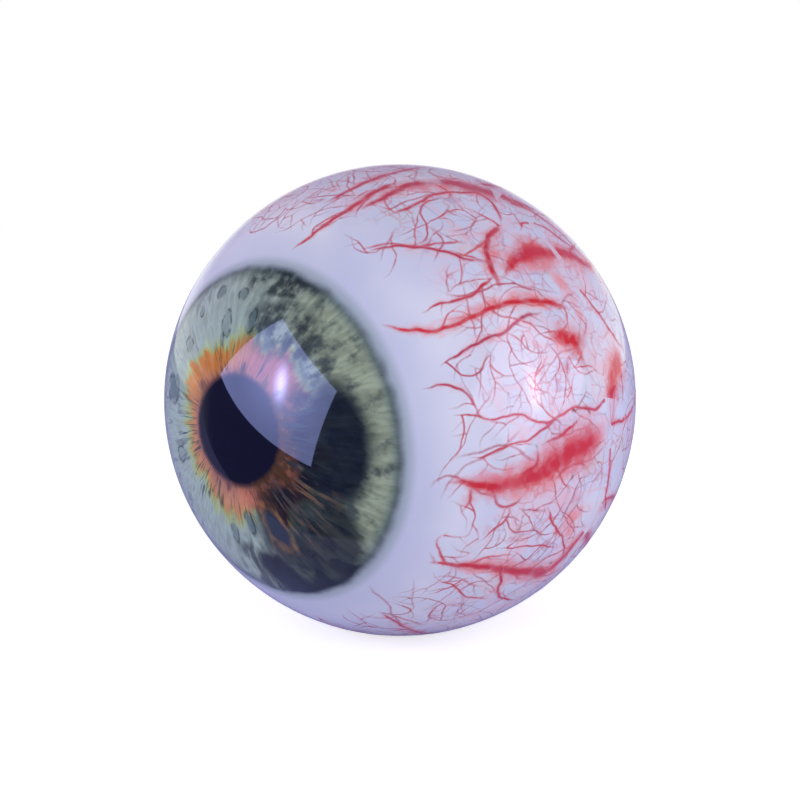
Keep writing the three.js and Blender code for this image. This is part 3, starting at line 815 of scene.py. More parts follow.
def tapered(count, first, last):
    """Widths that change evenly from first to last"""
    return [first + (last - first) * index / max(count - 1, 1) for index in range(count)]


def faded(count, first, last, power=1.0):
    """Ink that comes in over the first few steps and goes out over the last"""
    return [power * min(1.0, (index + 0.3) / first if first else 1.0,
                        (count - index - 0.7) / last if last else 1.0) for index in range(count)]


def retinal_keep(direction):
    """True on the inside of the cup, away from the fovea"""
    return RETINA_RIM_POLAR + 1.5 < polar_of(direction) < 180 - MACULA_ANGLE


def lay_retinal(shape, layers, line, width, end_width, dark):
    """One retinal vessel on the cup's inside"""
    lay_ink(shape, layers, line, tapered(len(line), width, end_width), RETINA_INNER - RETINAL_HEIGHT,
            RETINA_INNER + ROOT_DEPTH, dark, faded(len(line), 0, 4))


def retinal_tree(shape, layers, line, width, dark, depth, dice):
    """Branches of a retinal vessel, which fork at a narrow angle"""
    index = dice.randint(3, 7)
    side = 1 if dice.random() < 0.5 else -1
    while index < len(line) - 3:
        here = line[index]
        onward = (line[index + 1] - here).normalized()
        heading = Quaternion(here, side * math.radians(dice.uniform(25, 50))) @ onward
        reach = dice.uniform(0.6, 1.0) * RETINAL_REACH[depth] * MILLIMETRE
        child = wander(here, heading, reach, 0.07, dice, retinal_keep)
        if len(child) > 4:
            lay_retinal(shape, layers, child, width * 0.55, width * 0.25, dark)
            if depth > 1:
                retinal_tree(shape, layers, child, width * 0.55, dark, depth - 1, dice)
        index += dice.randint(4, 9)
        side = -side


def ink_marks(tree):
    """Of a line of ink: how far off its middle a point is, from 0 to 1, how dark it is and how strong"""
    ink_map = Value(put(tree, "UVMap", uv_map="ink_map"), "UV")
    off_centre = ink_map.parts()[0].math("MULTIPLY_ADD", 2.0, -1.0).math("ABSOLUTE")
    return off_centre, stored(tree, "dark"), stored(tree, "strength")


def make_retinal_ink():
    """Printed retinal vessels: bright red arteries and dark red veins, with a painted highlight along the
    middle of each
    """
    material, tree, shader = new_material("retinal_ink")
    off_centre, dark, strength = ink_marks(tree)
    lit = dark.between((0.60, 0.03, 0.03, 1), (0.24, 0.012, 0.03, 1))
    # A paler red along the middle of each vessel: a painted highlight, not a colour of the vessel
    painted_highlight = off_centre.step(0.0, 0.45, 0.35, 0.0)
    feed(shader, {"Base Color": painted_highlight.between(lit, (0.80, 0.22, 0.16, 1)),
                  "Alpha": off_centre.step(0.7, 1.0, 1.0, 0.0) * strength, "Roughness": 0.35})
    return material


def print_retina():
    """The four arches of vessels and their branches"""
    dice = random.Random(5)
    shape = bmesh.new()
    layers = strip_layers(shape)
    for side in (1, -1):
        for dark, spread, width in ((0.1, 0, 1.1), (0.9, 7, 1.4)):
            arch = [(0, DISC_POLAR + 1), (42 + spread, 160), (92 + spread / 2, 154 - spread / 2),
                    (135, 148), (160, 134), (172, 112), (176, 99)]
            nasal = [(0, DISC_POLAR - 2), (12 + spread, 150), (24 + spread, 132), (30 + spread, 112),
                     (34 + spread, 99)]
            for places in (arch, nasal):
                line = smooth_line([(180 - side * turn, polar) for turn, polar in places])
                lay_retinal(shape, layers, line, width * MILLIMETRE, RETINAL_END_WIDTH, dark)
                retinal_tree(shape, layers, line, width * MILLIMETRE, dark, 2, dice)
    bmesh.ops.recalc_face_normals(shape, faces=shape.faces)
    finished("retinal_vessel_print", shape, [make_retinal_ink()], "retina", [], 60)


retina_paint = make_retina_paint()
finished("retina_bowl", make_cup(RETINA_OUTER, RETINA_INNER, FOVEA), [retina_paint],
         "retina", ["retina_cup"])
print_retina()


# Vitreous body: a polished clear ball that fills the eye.
# Its front is turned flat, with a dimple for the back of the lens and a step round it for the zonule.

VITREOUS_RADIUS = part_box("vitreous_body")[1].y
VITREOUS_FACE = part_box("vitreous_body")[0].y
VITREOUS_ROUNDING = 0.5 * MILLIMETRE
LENS_LOW, LENS_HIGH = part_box("crystalline_lens")
LENS_RADIUS = (LENS_HIGH.x - LENS_LOW.x) / 2
LENS_FRONT_CURVE = 60 * MILLIMETRE
LENS_REAR_CURVE = 36 * MILLIMETRE
LENS_EDGE = 4 * MILLIMETRE
LENS_EDGE_ROUNDING = 0.9 * MILLIMETRE
LENS_FACE_RADIUS = LENS_RADIUS - LENS_EDGE_ROUNDING
CLEAR_GAP = 0.3 * MILLIMETRE
ZONULE_LOW, ZONULE_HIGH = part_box("zonule_ring")
ZONULE_OUTER = (ZONULE_HIGH.x - ZONULE_LOW.x) / 2
ZONULE_WIDTH = 3.6 * MILLIMETRE
LENS_MIDDLE = (ZONULE_LOW.y + ZONULE_HIGH.y) / 2
RESIN_IOR = 1.49


def lens_face(curve, pole, bulge):
    """A face of the lens from its pole out to its edge; bulge is 1 for the front and -1 for the rear"""
    half_angle = math.asin(LENS_FACE_RADIUS / curve)
    angles = [half_angle * step / 40 for step in range(41)]
    return [(curve * math.sin(angle), pole + bulge * curve * (1 - math.cos(angle))) for angle in angles]


def make_clear(name, tint, roughness):
    """Clear cast resin with the faintest unevenness in its polish"""
    material, tree, shader = new_material(name)
    cloud = object_place(tree).noise(40.0, 2.0)
    feed(shader, {"Transmission Weight": 1.0, "IOR": RESIN_IOR,
                  "Base Color": cloud.between(tint, (1, 1, 1, 1)),
                  "Roughness": cloud.step(0.3, 0.7, roughness * 0.5, roughness)})
    return material


step_y = LENS_MIDDLE + LENS_EDGE / 2 - LENS_EDGE_ROUNDING + CLEAR_GAP
zonule_y = ZONULE_HIGH.y + CLEAR_GAP
vitreous_outline = lens_face(LENS_REAR_CURVE + CLEAR_GAP, LENS_HIGH.y + CLEAR_GAP, -1)
vitreous_outline += [(LENS_RADIUS + CLEAR_GAP, step_y), (LENS_RADIUS + CLEAR_GAP, zonule_y),
                     (ZONULE_OUTER + CLEAR_GAP, zonule_y), (ZONULE_OUTER + CLEAR_GAP, VITREOUS_FACE)]
face_polar = rim_polar(VITREOUS_RADIUS, VITREOUS_FACE)
vitreous_outline += ball_arc(VITREOUS_RADIUS, face_polar, math.pi, 120)
vitreous_shape = turned(vitreous_outline, LAYER_STEPS)
rim_corners = {corner for corner in vitreous_shape.verts
               if abs(corner.co.y - VITREOUS_FACE) < SAME_PLACE
               and abs((corner.co - BALL_CENTRE).length - VITREOUS_RADIUS) < SAME_PLACE}
face_rim = [edge for edge in vitreous_shape.edges if rim_corners.issuperset(edge.verts)]
round_edges(vitreous_shape, face_rim, VITREOUS_ROUNDING, 3)
finished("vitreous_ball", vitreous_shape, [make_clear("vitreous_clear", (0.93, 0.97, 0.98, 1), 0.02)],
         "vitreous", ["vitreous_body"])


# Lens and zonule: a clear, faintly yellow lens, flatter in front than behind, hung in its zonule.
# The zonule is two fine rings with bundles of threads between them, one for each ciliary process.

PROCESS_COUNT = 36
THREAD_RADIUS = 0.16 * MILLIMETRE
THREAD_LIFT = 0.25 * MILLIMETRE
INNER_SPREAD = 0.3
OUTER_SPREAD = 0.09
ZONULE_RING_RADIUS = 0.38 * MILLIMETRE
INNER_RING = ZONULE_OUTER - ZONULE_WIDTH + ZONULE_RING_RADIUS
OUTER_RING = ZONULE_OUTER - ZONULE_RING_RADIUS

lens_outline = lens_face(LENS_FRONT_CURVE, LENS_LOW.y, 1)
lens_edge_front = LENS_MIDDLE - LENS_EDGE / 2
lens_edge_rear = LENS_MIDDLE + LENS_EDGE / 2
for step in range(1, 8):
    turn = math.pi / 2 * step / 8
    lens_outline.append((LENS_RADIUS - LENS_EDGE_ROUNDING * (1 - math.sin(turn)),
                         lens_edge_front + LENS_EDGE_ROUNDING * (1 - math.cos(turn))))
lens_outline += [(LENS_RADIUS, lens_edge_front + LENS_EDGE_ROUNDING),
                 (LENS_RADIUS, lens_edge_rear - LENS_EDGE_ROUNDING)]
lens_outline += reversed(lens_face(LENS_REAR_CURVE, LENS_HIGH.y, -1))
lens_clear = make_clear("lens_clear", (0.97, 0.95, 0.80, 1), 0.015)
finished("clear_lens", turned(lens_outline, LAYER_STEPS), [lens_clear], "lens",
         ["crystalline_lens"])


def add_ring(shape, radius):
    """A fine round ring of the zonule about the gaze axis"""
    turns = [math.tau * step / 12 for step in range(12)]
    section = [(radius + ZONULE_RING_RADIUS * math.cos(turn),
                LENS_MIDDLE + ZONULE_RING_RADIUS * math.sin(turn)) for turn in turns]
    mesh = as_mesh("ring", turned(section, 144, True))
    shape.from_mesh(mesh)
    bpy.data.meshes.remove(mesh)


def add_thread(shape, start, end, radius):
    """A thin round thread between two points"""
    span = end - start
    turn = Matrix.Translation((start + end) / 2) @ span.to_track_quat("Z", "Y").to_matrix().to_4x4()
    bmesh.ops.create_cone(shape, cap_ends=True, segments=8, radius1=radius, radius2=radius,
                          depth=span.length, matrix=turn)


zonule_shape = bmesh.new()
add_ring(zonule_shape, INNER_RING)
add_ring(zonule_shape, OUTER_RING)
for process in range(PROCESS_COUNT):
    for place in (-1, 0, 1):
        ends = []
        for distance, spread in ((INNER_RING, INNER_SPREAD), (OUTER_RING, OUTER_SPREAD)):
            turn = math.tau * (process + 0.5) / PROCESS_COUNT + math.tau / PROCESS_COUNT * place * spread
            ends.append(Vector((distance * math.cos(turn), LENS_MIDDLE + place * THREAD_LIFT,
                                BALL_CENTRE.z + distance * math.sin(turn))))
        add_thread(zonule_shape, *ends, THREAD_RADIUS)
finished("zonule_threads", zonule_shape, [make_moulded_plastic("zonule_pale", (0.80, 0.77, 0.68, 1), 0.4)],
         "lens", ["zonule_ring"], 50)


# Ciliary ring: a dark brown crown of 36 folded processes, with the thin pars plana behind it.
# It is cast in one piece, and its rear edge is scalloped to fit the teeth of the retina, the ora serrata.

CROWN_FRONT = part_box("ciliary_ring")[0].y
CROWN_DEPTH = 10 * MILLIMETRE
CROWN_REAR = CROWN_FRONT + CROWN_DEPTH
CROWN_ROUNDING = 1.2 * MILLIMETRE
CROWN_ROWS = 14
PROCESS_TIP = ZONULE_OUTER + CLEAR_GAP
CROWN_INNER = 36.3 * MILLIMETRE
PROCESS_SHARE = 0.17
ORA_POLAR = 59.0
ORA_TEETH = 18
ORA_TOOTH = math.degrees(3.2 * MILLIMETRE / RETINA_INNER)
ORA_HALF_GAP = math.degrees(0.2 * MILLIMETRE / RETINA_INNER)
ORA_EASE = 7.0
FRONT_LAYER_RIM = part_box("front_choroid_ring")[1].y
COLUMNS_PER_PROCESS = 16


def scallop(shape, shift):
    """Moves the edge at the ora serrata into rounded bays between teeth"""
    for corner in shape.verts:
        offset = corner.co - BALL_CENTRE
        polar = polar_of(offset.normalized())
        near = 1 - abs(polar - ORA_POLAR) / ORA_EASE
        if near > 0:
            azimuth = math.atan2(offset.z, offset.x)
            rise = ORA_TOOTH * abs(math.cos(azimuth * ORA_TEETH / 2)) + shift
            moved = on_ball(math.degrees(azimuth), polar + rise * near)
            corner.co = BALL_CENTRE + moved * offset.length


def crown_face(radius, along):
    """Points between the crown's inner edge and a radius, across its front or rear face"""
    return [(CROWN_INNER + (radius - CROWN_INNER) * share, along) for share in (0.15, 0.4, 0.7)]


def fold_processes(shape):
    """Pushes the crown's inner face into rounded processes of uneven height"""
    dice = random.Random(9)
    heights = [dice.uniform(0.86, 1.0) for _ in range(PROCESS_COUNT)]
    waves = [dice.uniform(0, math.tau) for _ in range(PROCESS_COUNT)]
    for corner in shape.verts:
        offset = corner.co - BALL_CENTRE
        distance = math.hypot(offset.x, offset.z)
        if distance > CROWN_INNER + CROWN_ROUNDING + SAME_PLACE:
            continue
        along = (offset.y - CROWN_FRONT) / (CROWN_REAR - CROWN_FRONT)
        profile = min(1.0, max(0.0, along / 0.28)) ** 0.5 * min(1.0, max(0.0, (1 - along) / 0.5)) ** 0.7
        place = math.atan2(offset.z, offset.x) % math.tau / math.tau * PROCESS_COUNT
        wave = waves[int(place) % PROCESS_COUNT]
        sway = 0.05 * math.sin(wave + along * 9) + 0.02 * math.sin(wave * 3 + along * 23)
        away = place - math.floor(place) - 0.5 + sway
        lobe = math.exp(-(away / PROCESS_SHARE) ** 4) * heights[int(place) % PROCESS_COUNT]
        small = 0.12 * math.exp(-((abs(away) - 0.42) / 0.08) ** 2)
        push = (CROWN_INNER - PROCESS_TIP) * profile * max(lobe, small)
        scale = (distance - push) / distance
        corner.co = Vector((offset.x * scale, offset.y, BALL_CENTRE.z + offset.z * scale))


def make_ciliary():
    """The crown, its processes and the pars plana"""
    front_polar = rim_polar(RETINA_OUTER, CROWN_FRONT)
    rear_polar = rim_polar(RETINA_INNER, CROWN_REAR)
    ora = math.radians(ORA_POLAR)
    outline = ball_arc(RETINA_OUTER, front_polar, ora, 26) + ball_arc(RETINA_INNER, ora, rear_polar, 14)
    outline += reversed(crown_face(RETINA_INNER * math.sin(rear_polar), CROWN_REAR))
    for step in range(CROWN_ROWS + 1):
        along = CROWN_REAR - (CROWN_REAR - CROWN_FRONT) * (step / CROWN_ROWS)
        edge = min(along - CROWN_FRONT, CROWN_REAR - along, CROWN_ROUNDING)
        curve = math.sqrt(max(0.0, CROWN_ROUNDING ** 2 - (CROWN_ROUNDING - edge) ** 2))
        outline.append((CROWN_INNER + (CROWN_ROUNDING - curve), along))
    outline += crown_face(RETINA_OUTER * math.sin(front_polar), CROWN_FRONT)
    shape = turned(outline, PROCESS_COUNT * COLUMNS_PER_PROCESS, True)
    fold_processes(shape)
    scallop(shape, -ORA_HALF_GAP)
    paint = make_vascular("ciliary_paint", (0.11, 0.045, 0.035, 1), (0.20, 0.08, 0.06, 1),
                          (0.045, 0.02, 0.018, 1), 0.45)
    finished("ciliary_crown", shape, [paint], "iris_unit", ["ciliary_ring"], 50)


make_ciliary()


# Front choroid and retina rings: the same two layers in the front half, which the iris carries.
# The retina's front edge is the ora serrata, a row of teeth against the ciliary ring.

def make_front_band(outer, inner, outer_polar, inner_polar):
    """A layer of the front half, from a circle in front to the parting; inside it runs straight back"""
    outline = ball_arc(outer, outer_polar, rim_polar(outer, FRONT_LAYER_RIM), 60)
    outline += [(inner, FRONT_LAYER_RIM)] + ball_arc(inner, math.pi / 2, inner_polar, 50)
    return turned(outline, 288, True)


choroid_band = make_front_band(CHOROID_OUTER, CHOROID_INNER, rim_polar(CHOROID_OUTER, CROWN_FRONT),
                               rim_polar(CHOROID_INNER, CROWN_FRONT))
finished("front_choroid_band", choroid_band, [choroid_paint], "iris_unit", ["front_choroid_ring"])
ora_front = math.radians(ORA_POLAR)
retina_band = make_front_band(RETINA_OUTER, RETINA_INNER, ora_front, ora_front)
scallop(retina_band, ORA_HALF_GAP)
finished("front_retina_band", retina_band, [retina_paint], "iris_unit", ["front_retina_ring"], 50)


# Iris disc: the coloured ring that stands in front of the lens, with the pupil as a round hole in it.
# It is cast with fine ridges that run out from the pupil, and painted as the print outside is.

PUPIL_EDGE = 11.7
LIMBUS_EDGE = 40.4
PUPIL_BLACK = (0.006, 0.006, 0.022, 1)
RING_OCHRE = (0.56, 0.27, 0.10, 1)
IRIS_STOPS = [
    (0.00, PUPIL_BLACK),
    (0.03, (0.09, 0.04, 0.05, 1)),
    (0.07, (0.40, 0.17, 0.12, 1)),
    (0.16, (0.56, 0.25, 0.14, 1)),
    (0.24, RING_OCHRE),
    (0.29, (0.44, 0.41, 0.15, 1)),
    (0.34, (0.39, 0.48, 0.30, 1)),
    (0.42, (0.36, 0.45, 0.44, 1)),
    (0.84, (0.33, 0.40, 0.36, 1)),
    (0.94, (0.15, 0.20, 0.19, 1)),
    (1.00, (0.05, 0.07, 0.09, 1)),
]
IRIS_DARK = (0.007, 0.011, 0.024, 1)
IRIS_STREAK = (0.026, 0.040, 0.060, 1)
IRIS_BLUE = (0.38, 0.48, 0.50, 1)
IRIS_PALE = (0.30, 0.35, 0.26, 1)
IRIS_SALMON = (0.66, 0.20, 0.15, 1)
IRIS_ROSE = (0.40, 0.12, 0.12, 1)
IRIS_ORANGE = (0.60, 0.20, 0.035, 1)
IRIS_UMBER = (0.17, 0.10, 0.06, 1)
IRIS_BURNT = (0.075, 0.035, 0.018, 1)
CRYPT_RING = (0.015, 0.035, 0.045, 1)
CRYPT_FLOOR = (0.09, 0.14, 0.17, 1)
GREAT_CRYPT_FLOOR = (0.025, 0.035, 0.065, 1)
# Each crypt: azimuth and angle from the pupil's centre, half length along the fibres, half width, depth
CRYPTS = [(107, 25.5, 3.4, 1.6, 0.3), (139, 27.4, 2.8, 1.6, 0.4), (166, 27.5, 4.4, 3.4, 0.85),
          (-159, 23.3, 2.8, 1.9, 0.3), (113, 35.0, 2.0, 1.6, 0.7), (99, 32.5, 1.6, 1.5, 0.6),
          (89, 26.0, 3.4, 1.1, 0.8), (-86, 20.5, 2.8, 1.3, 0.8), (-101, 24.5, 3.0, 1.2, 0.6),
          (-140, 30.0, 1.6, 1.0, 0.4), (126, 33.0, 1.5, 0.9, 0.4)]
GREAT_CRYPT = (-66, 22.8, 6.0, 2.9, 0.95)


def ramp(value, stops):
    """Colours in order along a value from 0 to 1"""
    made = put(value.tree, "ValToRGB", {"Fac": value})
    bar = made.color_ramp
    while len(bar.elements) < len(stops):
        bar.elements.new(1)
    for element, (place, colour) in zip(bar.elements, stops):
        element.position = place
        element.color = colour
    return Value(made, "Color")


def make_crypt_group():
    """A crypt in the iris: an oval pit with an uneven dark rim"""
    tree, (plane, centre, along, across), result = new_group(
        "iris_crypt", dict.fromkeys(("Plane", "Centre", "Along", "Across"), "Vector"),
        {"Ring": "Float", "Inside": "Float"})
    offset = plane.vector("SUBTRACT", centre)
    length = offset.vector("DOT_PRODUCT", along)
    width = offset.vector("DOT_PRODUCT", across)
    ragged = (length * length + width * width).math("SQRT") + plane.noise(0.22, 2.0) * 0.9
    inside = ragged.step(1.00, 1.35, 1.0, 0.0)
    outer = ragged.step(1.35, 1.75, 1.0, 0.0)
    uneven = plane.noise(0.35, 2.0).step(0.36, 0.60, 0.15, 1.0)
    feed(result, {"Ring": outer.math("SUBTRACT", inside, use_clamp=True) * uneven, "Inside": inside})
    return tree


def crypt_sockets(plane, azimuth, distance, half_length, half_width):
    """Inputs of one crypt, whose long way runs out from the pupil"""
    turn = math.radians(azimuth)
    out = Vector((math.cos(turn), math.sin(turn), 0))
    side = Vector((-math.sin(turn), math.cos(turn), 0))
    return {"Plane": plane, "Centre": out * distance, "Along": out / half_length, "Across": side / half_width}


def spokes(ring, distance, turns, stretch):
    """A place for noise that gives streaks running out from the pupil"""
    return ring.vector("SCALE", scale=turns).vector("ADD", combined(Z=distance * stretch))


def patch(plane, centre, size, ragged):
    """A soft blot round a place in the iris, with a ragged edge"""
    scaled = plane.vector("SUBTRACT", (*centre, 0.0)).vector("DIVIDE", (*size, 1.0))
    return (scaled.vector("LENGTH") + ragged * 1.1).step(1.3, 1.7, 1.0, 0.0)


def make_iris_group():
    """The iris and pupil: an orange ring round the pupil, grey-green fibres, crypts and a dark rim.
    Plane is the place in degrees from the pupil's centre"""
    tree, (plane,), result = new_group("iris_print", {"Plane": "Vector"}, {"Color": "Color"})
    distance = plane.vector("LENGTH")
    ring = plane.vector("NORMALIZE")
    share = (distance - PUPIL_EDGE) / (LIMBUS_EDGE - PUPIL_EDGE)
    rightward, upward, _ = ring.parts()
    broad = spokes(ring, distance, 2.4, 0.05).noise(1.0, 2.0, 0.5, 0.3)
    coarse = spokes(ring, distance, 8.0, 0.10).noise(1.0, 3.0, 0.55, 0.4)
    fine = spokes(ring, distance, 20.0, 0.12).noise(1.0, 3.0, 0.55, 0.4)
    blots = plane.noise(0.17, 4.0, 0.6)
    cloudy = plane.noise(0.34, 3.0, 0.55)

    inner = share.step(0.02, 0.15)
    sway = (coarse - 0.5) * 0.30 + (broad - 0.5) * 0.50
    narrow = rightward.step(-0.6, -0.95) * upward.step(0.45, 0.1) * inner * 0.10
    stepped = share + sway * inner * share.step(0.9, 0.6) + narrow
    in_ring = stepped.step(0.04, 0.10) * stepped.step(0.34, 0.26)
    upper_left = rightward.step(0.15, -0.35) * upward.step(0.1, 0.5)
    low_right = upward.math("MULTIPLY_ADD", -0.25, rightward)
    burnt = stepped.step(0.34, 0.26) * low_right.step(0.45, 0.72) * cloudy.step(0.60, 0.46, 0.75, 1.0)
    middle = stepped.step(0.36, 0.48) * share.step(0.98, 0.86)
    left = rightward.step(0.1, -0.5)
    band = share.step(0.40, 0.62) * share.step(0.97, 0.86) * rightward.step(0.0, 0.6)
    tufts = coarse * 0.55 + cloudy * 0.45
    darker = tufts + share.step(0.62, 0.85, 0.03, -0.06)
    streaky = darker.step(0.42, 0.64) * share.step(0.22, 0.45) * share.step(1.0, 0.9)
    veins = fine.step(0.52, 0.66) * middle * left * 0.5

    ragged = blots * 0.5 + coarse * 0.5
    lower = patch(plane, (17.0, -20.0), (14.0, 14.0), ragged)
    shadows = patch(plane, (6.0, 36.5), (12.0, 4.6), ragged) * tufts.step(0.40, 0.56, 0.25, 1.0) * 0.85
    for shadow in (
            patch(plane, (24.0, 0.5), (10.5, 14.5), ragged),
            patch(plane, (17.0, -33.0), (20.0, 8.0), ragged) * broad.step(0.38, 0.60, 0.55, 1.0),
            lower * 0.92,
            patch(plane, (9.0, 25.0), (10.0, 8.0), ragged) * tufts.step(0.36, 0.54, 0.35, 1.0) * 0.62,
            patch(plane, (0.0, -33.0), (8.0, 8.0), ragged) * coarse.step(0.40, 0.58) * 0.75):
        shadows = shadows.larger(shadow)
    outside = stepped.step(0.02, 0.20)
    ember = lower * fine.step(0.50, 0.64) * share.step(0.75, 0.3) * outside * 0.8
    spoke = fine.step(0.50, 0.62) * share.step(0.02, 0.08) * share.step(0.5, 0.25)
    spoke = spoke * broad.step(0.38, 0.58) * 0.85
    gaps = coarse.step(0.55, 0.66) * in_ring * upward.step(0.4, -0.3) * 0.8

    colour = painted(
        ramp(stepped, IRIS_STOPS),
        (in_ring * rightward.step(-0.3, 0.4) * 0.85, upward.step(0.2, 0.8).between(IRIS_SALMON, IRIS_ROSE)),
        (in_ring * upper_left * coarse.step(0.62, 0.42), IRIS_ORANGE),
        (burnt * 0.96, IRIS_BURNT),
        (left * middle * cloudy.step(0.3, 0.6) * 0.8, IRIS_BLUE),
        (band * 0.9, IRIS_PALE),
        (streaky * rightward.step(-0.35, 0.35) * 0.85, IRIS_STREAK),
        (veins, IRIS_STREAK),
        (shadows * outside * 0.97, IRIS_DARK),
        (ember, IRIS_UMBER),
        (spoke.larger(gaps), IRIS_STREAK))
    colour = fine.step(0.35, 0.68, 0.82, 1.16).dimmed(colour)
    crypt_group = make_crypt_group()
    for crypts, floor, strength, rim in ((CRYPTS, CRYPT_FLOOR, 0.8, CRYPT_RING),
                                         ([GREAT_CRYPT], GREAT_CRYPT_FLOOR, 0.22, RING_OCHRE)):
        for *place, depth in crypts:
            edge, inside = from_group(tree, crypt_group, crypt_sockets(plane, *place))
            colour = painted(colour, (inside * depth, floor), (edge * strength, rim))
    pupil = (share + (coarse - 0.5) * 0.05).step(-0.01, 0.03, 1.0, 0.0)
    feed(result, {"Color": pupil.between(colour, PUPIL_BLACK)})
    return tree


iris_group = make_iris_group()
PUPIL_RADIUS = 14 * MILLIMETRE
COLLARETTE_RADIUS = 20.5 * MILLIMETRE
COLLARETTE_HEIGHT = 0.7 * MILLIMETRE
COLLARETTE_WIDTH = 3.2 * MILLIMETRE
IRIS_LOW, IRIS_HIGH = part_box("iris_disc")
IRIS_RIM_RADIUS = (IRIS_HIGH.x - IRIS_LOW.x) / 2
IRIS_THICKNESS = 2.4 * MILLIMETRE
IRIS_FRONT = IRIS_HIGH.y - IRIS_THICKNESS
IRIS_RIM_THICKNESS = 0.8 * MILLIMETRE
IRIS_ROWS = 34
PUPIL_LIP = IRIS_THICKNESS / 3
RIDGE_HEIGHT = 0.16 * MILLIMETRE
RIDGE_COUNTS = (23, 37, 58, 91)


def make_iris_paint():
    """Paint of the iris disc: the same design laid on the flat, with its own ridges for relief"""
    material, tree, shader = new_material("iris_paint")
    east, _, up = object_place(tree).vector("SUBTRACT", BALL_CENTRE).parts()
    flat = combined(X=east, Y=up)
    distance = flat.vector("LENGTH")
    ring = flat.vector("NORMALIZE")
    degrees = (LIMBUS_EDGE - PUPIL_EDGE) / (IRIS_RIM_RADIUS - PUPIL_RADIUS)
    angle = (distance - PUPIL_RADIUS) * degrees + (PUPIL_EDGE + 0.8)
    (colour,) = from_group(tree, iris_group, {"Plane": ring.vector("SCALE", scale=angle)})
    fibres = spokes(ring, distance, 40.0, 180.0).noise(1.0, 3.0)
    feed(shader, {"Base Color": colour, "Roughness": 0.45, "Coat Weight": 0.3, "Coat Roughness": 0.2,
                  "Normal": relief(fibres, 0.5, 0.0002)})
    return material


def make_iris_disc():
    """The disc, with the raised ring of the collarette and ridges on its front"""
    inside = PUPIL_RADIUS + PUPIL_LIP
    rim_start = IRIS_RIM_RADIUS - IRIS_THICKNESS
    outline = [(inside, IRIS_HIGH.y), (PUPIL_RADIUS + PUPIL_LIP * 0.3, IRIS_HIGH.y - PUPIL_LIP * 0.5),
               (PUPIL_RADIUS, IRIS_HIGH.y - PUPIL_LIP), (PUPIL_RADIUS, IRIS_HIGH.y - 2 * PUPIL_LIP),
               (PUPIL_RADIUS + PUPIL_LIP * 0.3, IRIS_FRONT + PUPIL_LIP * 0.3)]
    for step in range(IRIS_ROWS + 1):
        distance = inside + (rim_start - PUPIL_RADIUS - PUPIL_LIP) * step / IRIS_ROWS
        swell = math.exp(-((distance - COLLARETTE_RADIUS) / COLLARETTE_WIDTH) ** 2)
        outline.append((distance, IRIS_FRONT - COLLARETTE_HEIGHT * 0.75 * swell))
    outline += [(IRIS_RIM_RADIUS, IRIS_HIGH.y - IRIS_RIM_THICKNESS), (IRIS_RIM_RADIUS, IRIS_HIGH.y)]
    outline += [(inside + (IRIS_RIM_RADIUS - PUPIL_RADIUS - PUPIL_LIP) * share, IRIS_HIGH.y)
                for share in (0.75, 0.5, 0.25)]
    shape = turned(outline, 480, True)
    dice = random.Random(3)
    waves = [(count, dice.uniform(0, math.tau), dice.uniform(0, 3)) for count in RIDGE_COUNTS]
    for corner in shape.verts:
        distance = from_axis(corner.co)
        between_rims = PUPIL_RADIUS + PUPIL_LIP * 1.1 < distance < rim_start - SAME_PLACE
        if corner.co.y < IRIS_FRONT + SAME_PLACE and between_rims:
            azimuth = math.atan2(corner.co.z - BALL_CENTRE.z, corner.co.x)
            height = sum(math.sin(azimuth * count + phase + math.sin(distance / MILLIMETRE / 3 + twist)) / 4
                         for count, phase, twist in waves)
            corner.co.y += RIDGE_HEIGHT * (height + 0.5)
    finished("iris_plate", shape, [make_iris_paint()], "iris_unit", ["iris_disc"], 50)


make_iris_disc()


# Front half shell: the other moulded half, printed with the iris, the pupil and the white round them.
# It lifts off forwards and holds on by the same pins and magnets.

PUPIL_SHIFT_RIGHT = 1.75
PUPIL_SHIFT_UP = 4.4
LIMBUS_SOFT_START = 39.8
LIMBUS_SOFT_END = 42.2


def make_front_print():
    """Material of the front half's outside: the iris, fading into the white at a soft dark edge"""
    material, tree, shader = new_material("front_print")
    direction, polar, plane = from_group(tree, gaze_group)
    (white,) = from_group(tree, sclera_group, {"Direction": direction, "Polar": polar})
    inner_share = 1.0 - polar / LIMBUS_EDGE
    shift = combined(X=inner_share * PUPIL_SHIFT_RIGHT, Y=inner_share * PUPIL_SHIFT_UP)
    (iris,) = from_group(tree, iris_group, {"Plane": plane.vector("SUBTRACT", shift)})
    ragged = polar + direction.noise(12.0, 3.0) * 1.6
    seal_with_coat(shader, ragged.step(LIMBUS_SOFT_START, LIMBUS_SOFT_END).between(iris, white))
    return material


front_print = make_front_print()
front_rim = PARTING_Y - PARTING_HALF_GAP
front_outline = ball_arc(BALL_RADIUS, 0, rim_polar(BALL_RADIUS, front_rim), OUTER_STEPS)
front_outline += [(INNER_RADIUS, front_rim)] + ball_arc(INNER_RADIUS, math.pi / 2, 0, INNER_STEPS)
front_shape = cut_away(turned(front_outline, SHELL_STEPS), rim_cutter(FRONT_MAGNET_NODES))
sort_print_faces(front_shape)
front_shell = finished("front_half_shell", front_shape, [front_print, white_plastic],
                       "front_half", ["front_sclera_shell"])


# Printed vessels on both halves: lines of red ink laid on the white before the clear coat.
# The main ones run back from near the iris and widen; finer ones branch from them and wander.

TWIG_HEIGHT = 0.028 * MILLIMETRE
BRANCH_HEIGHT = 0.044 * MILLIMETRE
TRUNK_HEIGHT = 0.060 * MILLIMETRE
EDGE_SPREAD = 2.3
CELLS_PER_RADIUS = 40
CROWD_LIMIT = 3
CROWDED_ROOT = 4
VESSEL_FREE_POLAR = 43.5
TWIG_FREE_POLAR = 50
BRANCH_SPACING = 6
